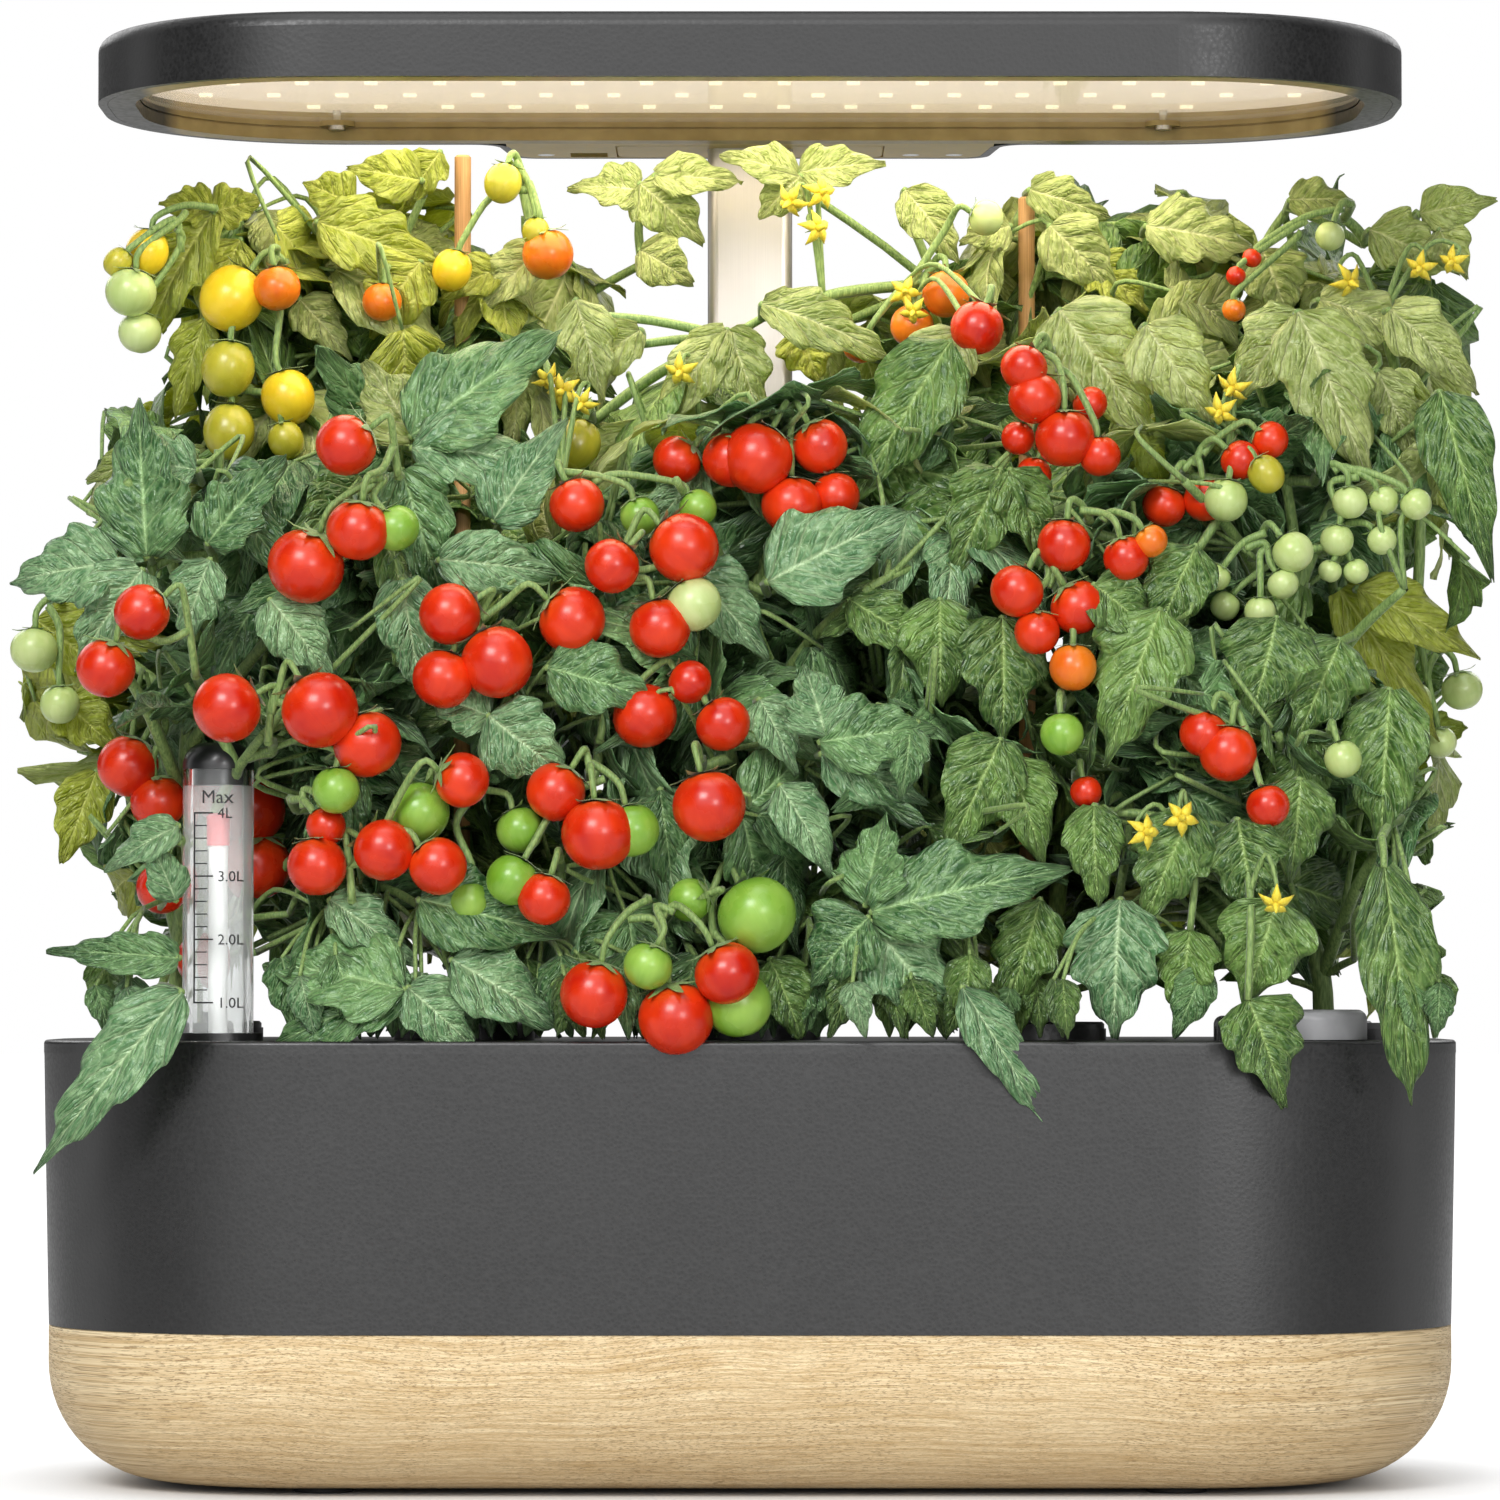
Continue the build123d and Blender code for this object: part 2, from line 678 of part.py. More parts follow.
tube_top = deck_top + gauge_height
water_line = tub_floor + litre_count * litre_rise
tip_top = deck_top + full_mark
gauge_foot = deck_under

with BuildPart() as gauge_tube:
    with BuildSketch(Plane.XY.offset(gauge_foot)):
        with Locations((gauge_x, gauge_y)):
            Circle(gauge_radius - case_fit)
            Circle(gauge_bore, mode=Mode.SUBTRACT)
    extrude(amount=tube_top - gauge_foot)
save(gauge_tube.part, "gauge_tube")

with BuildPart() as gauge_cap:
    with BuildSketch(Plane.XY.offset(tube_top)):
        with Locations((gauge_x, gauge_y)):
            Circle(gauge_radius)
    extrude(amount=gauge_cap_dome)
    fillet(gauge_cap.faces().sort_by(Axis.Z)[-1].edges(), gauge_cap_round)
    with BuildSketch(Plane.XY.offset(tube_top)):
        with Locations((gauge_x, gauge_y)):
            Circle(gauge_bore - gauge_plug_fit)
    extrude(amount=-gauge_plug_depth)
save(gauge_cap.part, "gauge_cap")

with BuildPart() as gauge_bush:
    with BuildSketch(Plane.XY.offset(deck_under - bush_height)):
        with Locations((gauge_x, gauge_y)):
            Circle(gauge_radius + gauge_collar_wall)
            Circle(stem_radius + slide_fit, mode=Mode.SUBTRACT)
    extrude(amount=bush_height)
    with BuildSketch(Plane.XY.offset(deck_under)):
        with Locations((gauge_x, gauge_y)):
            Circle(gauge_bore - gauge_plug_fit)
            Circle(stem_radius + slide_fit, mode=Mode.SUBTRACT)
    extrude(amount=deck_edge)
save(gauge_bush.part, "gauge_bush")

with BuildPart() as float_ball:
    with BuildSketch(Plane.XY.offset(water_line - float_height / 2)):
        with Locations((gauge_x, gauge_y)):
            Circle(float_radius)
    extrude(amount=float_height)
    fillet(float_ball.faces().sort_by(Axis.Z)[0].edges(), float_height / 4)
    fillet(float_ball.faces().sort_by(Axis.Z)[-1].edges(), float_height / 4)
save(float_ball.part, "gauge_float")

with BuildPart() as float_stem:
    with BuildSketch(Plane.XY.offset(water_line + float_height / 2)):
        with Locations((gauge_x, gauge_y)):
            Circle(stem_radius)
    extrude(amount=tip_top - tip_height - water_line - float_height / 2)
save(float_stem.part, "float_stem")

with BuildPart() as float_tip:
    with BuildSketch(Plane.XY.offset(tip_top - tip_height)):
        with Locations((gauge_x, gauge_y)):
            Circle(tip_radius)
    extrude(amount=tip_height)
    chamfer(float_tip.faces().sort_by(Axis.Z)[-1].edges(), tip_radius / 4)
save(float_tip.part, "float_tip")

# ---------------------------------------------------------------- inlet cap

with BuildPart() as inlet_cap:
    with BuildSketch(Plane.XY.offset(deck_top + inlet_cap_lift)):
        with Locations((inlet_x, inlet_y)):
            Circle(inlet_cap_radius)
    extrude(amount=inlet_cap_height)
    fillet(inlet_cap.faces().sort_by(Axis.Z)[-1].edges(), inlet_cap_round)
    with BuildSketch(Plane.XY.offset(deck_top + inlet_cap_lift)):
        with Locations((inlet_x, inlet_y)):
            Circle(inlet_cap_radius - inlet_cap_wall)
    extrude(amount=inlet_cap_height - inlet_cap_crown, mode=Mode.SUBTRACT)
    with BuildSketch(Plane.XZ.offset(-inlet_y)):
        with Locations((hinge_x, hinge_z)):
            Circle(hinge_knuckle_radius)
        with Locations((hinge_x + (hinge_reach + inlet_cap_wall) / 2, hinge_z)):
            Rectangle(hinge_reach + inlet_cap_wall, hinge_knuckle_radius)
    extrude(amount=hinge_knuckle_length / 2, both=True)
    with BuildSketch(Plane.XZ.offset(-inlet_y)):
        with Locations((hinge_x, hinge_z)):
            Circle(hinge_pin_radius + hinge_running_fit)
    extrude(amount=hinge_knuckle_length, both=True, mode=Mode.SUBTRACT)
save(inlet_cap.part, "inlet_cap")

with BuildPart() as inlet_pin:
    with BuildSketch(Plane.XZ.offset(-inlet_y)):
        with Locations((hinge_x, hinge_z)):
            Circle(hinge_pin_radius)
    extrude(amount=lug_middle + hinge_lug_length / 2, both=True)
save(inlet_pin.part, "inlet_hinge_pin")

# ---------------------------------------------------------------- pump, standing on the tank's floor

pump_foot = tub_floor + cup_height
pump_front = pump_y - pump_depth / 2
pump_middle = pump_foot + pump_height / 2
plate_front = pump_front - volute_plate_thickness
intake_front = plate_front - intake_depth


def front_plane(distance):
    """The plane that faces the front at this Y, with its origin on the pump's axis."""
    return Plane(origin=(pump_x, distance, pump_middle), x_dir=(1, 0, 0), z_dir=(0, -1, 0))


with BuildPart() as pump_body:
    with BuildSketch(front_plane(pump_front)):
        RectangleRounded(pump_width, pump_height, pump_round)
    extrude(amount=-pump_depth)
    chamfer(pump_body.faces().sort_by(Axis.Y)[-1].edges(), pump_round / 3)
    with BuildSketch(front_plane(pump_front)):
        Circle(volute_radius)
    extrude(amount=-volute_depth, mode=Mode.SUBTRACT)
    with BuildSketch(front_plane(pump_front + volute_depth)):
        Circle(rotor_bore)
        Circle(shaft_radius + pump_round / 4, mode=Mode.SUBTRACT)
    extrude(amount=-rotor_depth + pump_round, mode=Mode.SUBTRACT)
    with BuildSketch(front_plane(pump_front + volute_depth)):
        Circle(rotor_bore)
    extrude(amount=-rotor_depth + 2 * pump_round, mode=Mode.SUBTRACT)
    with BuildSketch(front_plane(pump_front + volute_depth)):
        Circle(shaft_radius)
    extrude(amount=-rotor_depth + pump_round, mode=Mode.SUBTRACT)
    with BuildSketch(Plane.XY.offset(pump_middle)):
        with Locations((pump_x + volute_radius - outlet_bore, pump_front + volute_depth / 2)):
            Circle(outlet_bore)
    extrude(amount=pump_height, mode=Mode.SUBTRACT)
save(pump_body.part, "pump_body")

with BuildPart() as pump_outlet:
    with BuildSketch(Plane.XY.offset(pump_foot + pump_height)):
        with Locations((pump_x + volute_radius - outlet_bore, pump_front + volute_depth / 2)):
            Circle(outlet_radius)
            Circle(outlet_bore, mode=Mode.SUBTRACT)
    extrude(amount=outlet_height)
save(pump_outlet.part, "pump_outlet")

rotor_length = rotor_depth - 2 * pump_round - 2 * rotor_gap
blade_reach = volute_radius - blade_tip_gap
with BuildPart() as impeller:
    with BuildSketch(front_plane(pump_front + volute_depth - rotor_gap)):
        Circle(blade_reach)
    extrude(amount=impeller_disc)
    with BuildSketch(front_plane(pump_front + volute_depth - rotor_gap)):
        Circle(rotor_bore - rotor_gap)
    extrude(amount=-rotor_length)
    with BuildSketch(front_plane(pump_front + volute_depth - rotor_gap - impeller_disc)):
        Circle(shaft_radius + blade_thickness)
        with PolarLocations(blade_reach / 2, blade_count):
            Rectangle(blade_reach, blade_thickness)
    extrude(amount=blade_height)
    with BuildSketch(front_plane(pump_front)):
        Circle(shaft_radius + shaft_fit)
    extrude(amount=-pump_depth, mode=Mode.SUBTRACT)
save(impeller.part, "pump_impeller")

with BuildPart() as impeller_shaft:
    with BuildSketch(front_plane(pump_front + rotor_gap)):
        Circle(shaft_radius)
    extrude(amount=-(volute_depth + rotor_depth - pump_round - rotor_gap))
save(impeller_shaft.part, "impeller_shaft")

with BuildPart() as volute_plate:
    with BuildSketch(front_plane(pump_front)):
        RectangleRounded(pump_width, pump_height, pump_round)
        Circle(intake_radius, mode=Mode.SUBTRACT)
        Rectangle(2 * intake_radius, 2 * shaft_radius + blade_thickness)
    extrude(amount=volute_plate_thickness)
save(volute_plate.part, "volute_plate")

with BuildPart() as intake_cover:
    with BuildSketch(front_plane(plate_front)):
        RectangleRounded(pump_width, pump_height, pump_round)
    extrude(amount=intake_depth)
    chamfer(intake_cover.faces().sort_by(Axis.Y)[0].edges(), pump_round / 3)
    with BuildSketch(front_plane(plate_front)):
        RectangleRounded(pump_width - 2 * intake_wall, pump_height - 2 * intake_wall, pump_round - intake_wall)
    extrude(amount=intake_depth - intake_wall, mode=Mode.SUBTRACT)
    with BuildSketch(front_plane(intake_front)):
        with GridLocations(intake_slot_pitch, 1, intake_slots, 1):
            SlotOverall(pump_height - 4 * intake_wall - pump_round, intake_slot_width, rotation=90)
    extrude(amount=-intake_wall, mode=Mode.SUBTRACT)
save(intake_cover.part, "intake_cover")

with BuildPart() as filter_sponge:
    with BuildSketch(front_plane(plate_front)):
        sponge_inset = intake_wall + filter_gap
        RectangleRounded(pump_width - 2 * sponge_inset, pump_height - 2 * sponge_inset, pump_round - intake_wall)
    extrude(amount=intake_depth - intake_wall - filter_gap)
save(filter_sponge.part, "filter_sponge")

with BuildPart() as suction_cups:
    cup_span_x = pump_width - 2 * cup_radius
    cup_span_y = pump_depth - 2 * cup_radius
    with BuildSketch(Plane.XY.offset(tub_floor)):
        with Locations((pump_x, pump_y)):
            with GridLocations(cup_span_x, cup_span_y, 2, 2):
                Circle(cup_radius)
    with BuildSketch(Plane.XY.offset(tub_floor + cup_height / 2)):
        with Locations((pump_x, pump_y)):
            with GridLocations(cup_span_x, cup_span_y, 2, 2):
                Circle(cup_stud_radius)
    loft(ruled=True)
    with BuildSketch(Plane.XY.offset(tub_floor + cup_height / 2)):
        with Locations((pump_x, pump_y)):
            with GridLocations(cup_span_x, cup_span_y, 2, 2):
                Circle(cup_stud_radius)
    extrude(amount=cup_height / 2)
save(suction_cups.part, "suction_cups")

# ---------------------------------------------------------------- pole

with BuildPart() as pole_outer:
    with BuildSketch(Plane.XY.offset(outer_foot)):
        with Locations((0, pole_y)):
            RectangleRounded(outer_width, outer_thick, outer_round)
            RectangleRounded(outer_bore_width, outer_bore_thick, outer_bore_round, mode=Mode.SUBTRACT)
    extrude(amount=outer_top - outer_foot)
save(pole_outer.part, "pole_outer")

with BuildPart() as pole_collar:
    with BuildSketch(Plane.XY.offset(outer_top - pole_collar_height)):
        with Locations((0, pole_y)):
            RectangleRounded(
                outer_width + 2 * pole_collar_wall, outer_thick + 2 * pole_collar_wall, outer_round + pole_collar_wall
            )
            RectangleRounded(
                outer_width + 2 * case_fit, outer_thick + 2 * case_fit, outer_round + case_fit, mode=Mode.SUBTRACT
            )
    extrude(amount=pole_collar_height)
    with BuildSketch(Plane.XY.offset(outer_top)):
        with Locations((0, pole_y)):
            RectangleRounded(
                outer_width + 2 * pole_collar_wall, outer_thick + 2 * pole_collar_wall, outer_round + pole_collar_wall
            )
            RectangleRounded(outer_bore_width, outer_bore_thick, outer_bore_round, mode=Mode.SUBTRACT)
    extrude(amount=pole_collar_wall)
    fillet(pole_collar.faces().sort_by(Axis.Z)[-1].outer_wire().edges(), pole_collar_wall / 2)
save(pole_collar.part, "pole_collar")

with BuildPart() as pole_inner:
    with BuildSketch(Plane.XY.offset(outer_top - pole_overlap)):
        with Locations((0, pole_y)):
            RectangleRounded(pole_width, pole_thick, pole_round)
            RectangleRounded(
                pole_width - 2 * pole_wall, pole_thick - 2 * pole_wall, pole_round - pole_wall, mode=Mode.SUBTRACT
            )
    extrude(amount=bracket_under - outer_top + pole_overlap)
save(pole_inner.part, "pole_inner")

# ---------------------------------------------------------------- lamp housing


def lamp_plan(inset):
    """Outline of the lamp seen from above, moved in by an inset: a long ring body and the rear control housing."""
    with BuildSketch() as plan:
        with Locations((0, lamp_y)):
            RectangleRounded(lamp_length, lamp_depth, lamp_radius)
        root = lamp_back - bump_round
        Polygon(
            (-bump_root / 2, root),
            (bump_root / 2, root),
            (bump_root / 2, lamp_back),
            (bump_width / 2, bump_back),
            (-bump_width / 2, bump_back),
            (-bump_root / 2, lamp_back),
            align=None,
        )
        rear_corners = plan.vertices().sort_by(Axis.Y)[-4:]
        fillet(rear_corners, bump_round)
        if inset:
            offset(amount=-inset, mode=Mode.REPLACE)
    return plan.sketch


housing_plan = lamp_plan(0)
housing_inside = lamp_plan(lamp_wall)
cover_plan = lamp_plan(lamp_wall + case_fit)

with BuildPart() as lamp_housing:
    with BuildSketch(Plane.XY.offset(lamp_bottom)):
        add(housing_plan)
    extrude(amount=lamp_thickness)
    fillet(lamp_housing.faces().sort_by(Axis.Z)[-1].edges(), lamp_round)
    with BuildSketch(Plane.XY.offset(lamp_bottom)):
        add(housing_inside)
    extrude(amount=lamp_thickness - lamp_top_wall, mode=Mode.SUBTRACT)
    # posts for the control board and the pole bracket
    with BuildSketch(Plane.XY.offset(control_top)):
        with Locations((0, pole_y)):
            with GridLocations(control_width - 2 * post_radius, 1, 2, 1):
                Circle(post_radius)
    extrude(amount=ceiling - control_top)
    with BuildSketch(Plane.XY.offset(bracket_under + bracket_thickness)):
        with Locations((0, pole_y)):
            with GridLocations(bracket_width - 4 * post_radius, 1, 2, 1):
                Circle(post_radius)
    extrude(amount=ceiling - bracket_under - bracket_thickness)
    # shallow well and holes for the buttons
    with BuildSketch(Plane.XY.offset(lamp_top)):
        with Locations((0, pole_y)):
            SlotOverall(2 * button_pitch + 4 * button_radius, 4 * button_radius)
    extrude(amount=-button_recess, mode=Mode.SUBTRACT)
    with BuildSketch(Plane.XY.offset(ceiling)):
        with Locations((0, pole_y)):
            with GridLocations(button_pitch, 1, 3, 1):
                Circle(button_radius + button_fit)
    extrude(amount=lamp_top_wall, mode=Mode.SUBTRACT)
save(lamp_housing.part, "lamp_housing")

bezel_length = lamp_length - 2 * (lamp_wall + case_fit)
bezel_depth = lamp_depth - 2 * (lamp_wall + case_fit)
bezel_radius = lamp_radius - lamp_wall - case_fit
view_length = lamp_length - 2 * rim_width
view_depth = lamp_depth - 2 * rim_width
view_radius = lamp_radius - rim_width
tab_screw_span = view_depth - 2 * (small_head_radius + slide_fit)

with BuildPart() as lamp_bezel:
    with BuildSketch(Plane.XY.offset(lamp_bottom)):
        with Locations((0, lamp_y)):
            RectangleRounded(bezel_length, bezel_depth, bezel_radius)
            RectangleRounded(view_length, view_depth, view_radius, mode=Mode.SUBTRACT)
    extrude(amount=board_under - lamp_bottom)
    with BuildSketch(Plane.XY.offset(lens_under)):
        with Locations((0, lamp_y)):
            RectangleRounded(view_length + 2 * lens_seat, view_depth + 2 * lens_seat, view_radius + lens_seat)
    extrude(amount=board_under - lens_under, mode=Mode.SUBTRACT)
    with BuildSketch(Plane.XY.offset(lamp_bottom + rim_groove_height)):
        with Locations((0, lamp_y)):
            RectangleRounded(view_length + 2 * rim_groove, view_depth + 2 * rim_groove, view_radius + rim_groove)
    extrude(amount=rim_groove, mode=Mode.SUBTRACT)
    with BuildSketch(Plane.XY.offset(lens_under - tab_thickness)):
        with Locations((0, lamp_y)):
            with GridLocations(2 * tab_x, view_depth, 2, 2):
                Circle(tab_radius)
    extrude(amount=tab_thickness)
    with BuildSketch(Plane.XY.offset(lens_under - tab_thickness)):
        with Locations((0, lamp_y)):
            with GridLocations(2 * tab_x, tab_screw_span, 2, 2):
                Circle(small_screw_radius + case_fit)
    extrude(amount=tab_thickness, mode=Mode.SUBTRACT)
save(lamp_bezel.part, "lamp_bezel")

with BuildPart() as lens_panel:
    with BuildSketch(Plane.XY.offset(lens_under)):
        with Locations((0, lamp_y)):
            seat = lens_seat - lens_fit
            RectangleRounded(view_length + 2 * seat, view_depth + 2 * seat, view_radius + seat)
        with Locations((0, lamp_y)):
            with GridLocations(2 * tab_x, tab_screw_span, 2, 2):
                Circle(small_screw_radius + case_fit, mode=Mode.SUBTRACT)
    extrude(amount=lens_thickness)
save(lens_panel.part, "lens_panel")

with BuildPart() as led_board:
    with BuildSketch(Plane.XY.offset(board_under)):
        with Locations((0, lamp_y)):
            RectangleRounded(
                lamp_length - 2 * board_margin, lamp_depth - 2 * board_margin, lamp_radius - board_margin
            )
        with Locations((0, lamp_y)):
            with GridLocations(2 * tab_x, tab_screw_span, 2, 2):
                Circle(small_screw_radius + case_fit, mode=Mode.SUBTRACT)
    extrude(amount=board_thickness)
save(led_board.part, "led_board")


def led_places():
    """Centres of the diodes: rows shifted in turn by half a pitch, each as long as the opening's outline lets it be."""
    places = []
    side_rows = int((view_depth / 2 - led_margin) // led_row_pitch)
    for row in range(-side_rows, side_rows + 1):
        shift = 0.0 if row % 2 else led_pitch / 2
        past_straight = max(0.0, abs(row) * led_row_pitch - (view_depth / 2 - view_radius))
        reach = view_length / 2 - view_radius + sqrt(view_radius**2 - past_straight**2) - led_margin
        columns = int(reach // led_pitch) + 1
        for step in range(-columns, columns + 1):
            led_x = step * led_pitch + shift
            if abs(led_x) <= reach:
                places.append((led_x, lamp_y + row * led_row_pitch))
    return places


with BuildPart() as leds:
    with BuildSketch(Plane.XY.offset(board_under)):
        with Locations(*led_places()):
            Rectangle(led_length, led_width)
    extrude(amount=-led_height)
save(leds.part, "leds")

# ---------------------------------------------------------------- control housing at the back of the lamp

plate_y = pole_y + pole_plate_shift
cover_screw_places = (
    (-cover_screw_x, socket_y),
    (cover_screw_x, socket_y),
    (cover_screw_extra_x, socket_y),
)

with BuildPart() as rear_cover:
    with BuildSketch(Plane.XY.offset(lamp_bottom)):
        add(cover_plan)
        cover_inset = lamp_wall + case_fit
        with Locations((0, pole_y)):
            Rectangle(bump_root - 2 * cover_inset, lamp_depth, mode=Mode.INTERSECT)
        with Locations((0, lamp_y)):
            RectangleRounded(
                bezel_length + 2 * case_fit, bezel_depth + 2 * case_fit, bezel_radius + case_fit, mode=Mode.SUBTRACT
            )
        with Locations((0, plate_y)):
            Rectangle(pole_plate_width + 2 * case_fit, pole_plate_depth + 2 * case_fit, mode=Mode.SUBTRACT)
        with Locations((jack_x, socket_y)):
            Rectangle(jack_size, jack_size - 2 * jack_lip, mode=Mode.SUBTRACT)
        with Locations(*cover_screw_places):
            Circle(small_screw_radius, mode=Mode.SUBTRACT)
    extrude(amount=cover_thickness)
    with BuildSketch(Plane.XY.offset(lamp_bottom)):
        with Locations(*cover_screw_places):
            Circle(small_head_radius + case_fit)
    extrude(amount=cover_thickness / 2, mode=Mode.SUBTRACT)
save(rear_cover.part, "lamp_rear_cover")

with BuildPart() as pole_plate:
    with BuildSketch(Plane.XY.offset(lamp_bottom)):
        with Locations((0, plate_y)):
            RectangleRounded(pole_plate_width, pole_plate_depth, pole_round)
        with Locations((0, pole_y)):
            RectangleRounded(
                pole_width + 2 * case_fit, pole_thick + 2 * case_fit, pole_round + case_fit, mode=Mode.SUBTRACT
            )
    extrude(amount=cover_thickness)
    chamfer(pole_plate.faces().sort_by(Axis.Z)[0].outer_wire().edges(), cover_thickness / 4)
save(pole_plate.part, "pole_cover_plate")

with BuildPart() as pole_bracket:
    with BuildSketch(Plane.XY.offset(bracket_under)):
        with Locations((0, pole_y)):
            RectangleRounded(bracket_width, bracket_depth, post_radius)
    extrude(amount=bracket_thickness)
save(pole_bracket.part, "pole_bracket")

with BuildPart() as control_board:
    with BuildSketch(Plane.XY.offset(control_under)):
        with Locations((0, pole_y)):
            Rectangle(control_width, control_depth)
    extrude(amount=control_thickness)
    with BuildSketch(Plane.XY.offset(control_top)):
        with Locations((0, pole_y)):
            with GridLocations(button_pitch, 1, 3, 1):
                Rectangle(switch_size, switch_size)
    extrude(amount=switch_height)
save(control_board.part, "control_board")

button_top = lamp_top - button_sunk
flange_under = control_top + switch_height + button_travel + button_sunk
for number in range(3):
    button_x = (number - 1) * button_pitch
    with BuildPart() as button:
        with BuildSketch(Plane.XY.offset(flange_under)):
            with Locations((button_x, pole_y)):
                Circle(button_radius + button_flange)
        extrude(amount=ceiling - case_fit - flange_under)
        with BuildSketch(Plane.XY.offset(flange_under)):
            with Locations((button_x, pole_y)):
                Circle(button_radius)
        extrude(amount=button_top - flange_under)
        chamfer(button.faces().sort_by(Axis.Z)[-1].edges(), button_sunk)
    save(button.part, f"button_{number + 1}")

with BuildPart() as dc_jack:
    with BuildSketch(Plane.XY.offset(lamp_bottom + cover_thickness)):
        with Locations((jack_x, socket_y)):
            Rectangle(jack_size + 2 * jack_wall, jack_size + 2 * jack_lip)
    extrude(amount=jack_height)
    with BuildSketch(Plane.XY.offset(lamp_bottom + cover_thickness)):
        with Locations((jack_x, socket_y)):
            Circle(jack_barrel)
            Circle(jack_pin, mode=Mode.SUBTRACT)
    extrude(amount=jack_depth, mode=Mode.SUBTRACT)
save(dc_jack.part, "dc_jack")

with BuildPart() as lamp_screws:
    with BuildSketch(Plane.XY.offset(lens_under - tab_thickness)):
        with Locations((0, lamp_y)):
            with GridLocations(2 * tab_x, tab_screw_span, 2, 2):
                Circle(small_head_radius)
    extrude(amount=-small_head_height)
    with BuildSketch(Plane.XY.offset(lens_under - tab_thickness)):
        with Locations((0, lamp_y)):
            with GridLocations(2 * tab_x, tab_screw_span, 2, 2):
                Circle(small_screw_radius)
    extrude(amount=board_under + board_thickness - lens_under + tab_thickness)
    with BuildSketch(Plane.XY.offset(lamp_bottom)):
        with Locations(*cover_screw_places):
            Circle(small_head_radius)
    extrude(amount=cover_thickness / 2)
    with BuildSketch(Plane.XY.offset(lamp_bottom + cover_thickness / 2)):
        with Locations(*cover_screw_places):
            Circle(small_screw_radius)
    extrude(amount=small_screw_length)
save(lamp_screws.part, "lamp_screws")
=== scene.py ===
"""Looks of the countertop hydroponic garden: finishes of the CAD pieces, the gauge's scale, the tomato
plants, the lamp's glow, and a plain studio around them.

Everything is in metres, in the CAD frame: +Z up, the front faces -Y, +X to the right seen from the front.
"""

import math
import random

import bpy
import numpy as np
from mathutils import Matrix, Vector


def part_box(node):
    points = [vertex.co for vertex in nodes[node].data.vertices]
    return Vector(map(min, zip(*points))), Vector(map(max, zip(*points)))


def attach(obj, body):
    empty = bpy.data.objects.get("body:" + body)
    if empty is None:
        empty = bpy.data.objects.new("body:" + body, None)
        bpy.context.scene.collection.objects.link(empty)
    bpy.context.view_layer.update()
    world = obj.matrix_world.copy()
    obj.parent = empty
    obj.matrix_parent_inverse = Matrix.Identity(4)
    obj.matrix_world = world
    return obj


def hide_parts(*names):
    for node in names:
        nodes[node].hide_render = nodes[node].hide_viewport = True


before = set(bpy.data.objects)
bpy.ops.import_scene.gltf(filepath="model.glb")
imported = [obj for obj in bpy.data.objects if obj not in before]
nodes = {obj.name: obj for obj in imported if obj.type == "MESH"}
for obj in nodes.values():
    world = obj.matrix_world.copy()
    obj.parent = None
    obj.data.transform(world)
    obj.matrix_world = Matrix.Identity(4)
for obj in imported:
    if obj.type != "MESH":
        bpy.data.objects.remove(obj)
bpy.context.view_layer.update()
MM = 0.001
UP = Vector((0, 0, 1))
TO_FRONT = Vector((0, -1, 0))

# ---------------------------------------------------------------- camera, as the picture was taken

PICTURE_SIDE = 1500
PICTURE_FOCAL = 6926.0  # focal length in pixels
PICTURE_HORIZON = 988.0  # row of the horizon
SENSOR = 36.0
CAMERA_PLACE = Vector((0.0, -1.8925, 0.1334))
CAMERA_PITCH = math.atan((PICTURE_HORIZON - PICTURE_SIDE / 2) / PICTURE_FOCAL)


def make_camera():
    """The camera at the picture's viewing angle."""
    data = bpy.data.cameras.new("studio_camera")
    data.sensor_width = SENSOR
    data.lens = SENSOR * PICTURE_FOCAL / PICTURE_SIDE
    data.clip_end = 50.0
    camera = link("studio_camera", data)
    camera.location = CAMERA_PLACE
    camera.rotation_euler = (math.pi / 2 + CAMERA_PITCH, 0, 0)
    bpy.context.scene.camera = camera


def at_pixel(column, row, depth):
    """The point at this Y (mm) that the picture shows at a pixel."""
    across = column - PICTURE_SIDE / 2
    up = PICTURE_SIDE / 2 - row
    forward = PICTURE_FOCAL * math.cos(CAMERA_PITCH) - up * math.sin(CAMERA_PITCH)
    rise = PICTURE_FOCAL * math.sin(CAMERA_PITCH) + up * math.cos(CAMERA_PITCH)
    reach = (depth * MM - CAMERA_PLACE.y) / forward
    return Vector((across * reach, depth * MM, CAMERA_PLACE.z + rise * reach))


def pixel_size(depth):
    """Metres per pixel at this Y (mm)."""
    return (depth * MM - CAMERA_PLACE.y) / PICTURE_FOCAL


# ---------------------------------------------------------------- shader graphs

NOISE_LOW, NOISE_HIGH = 0.3, 0.7  # most values of a noise lie between these


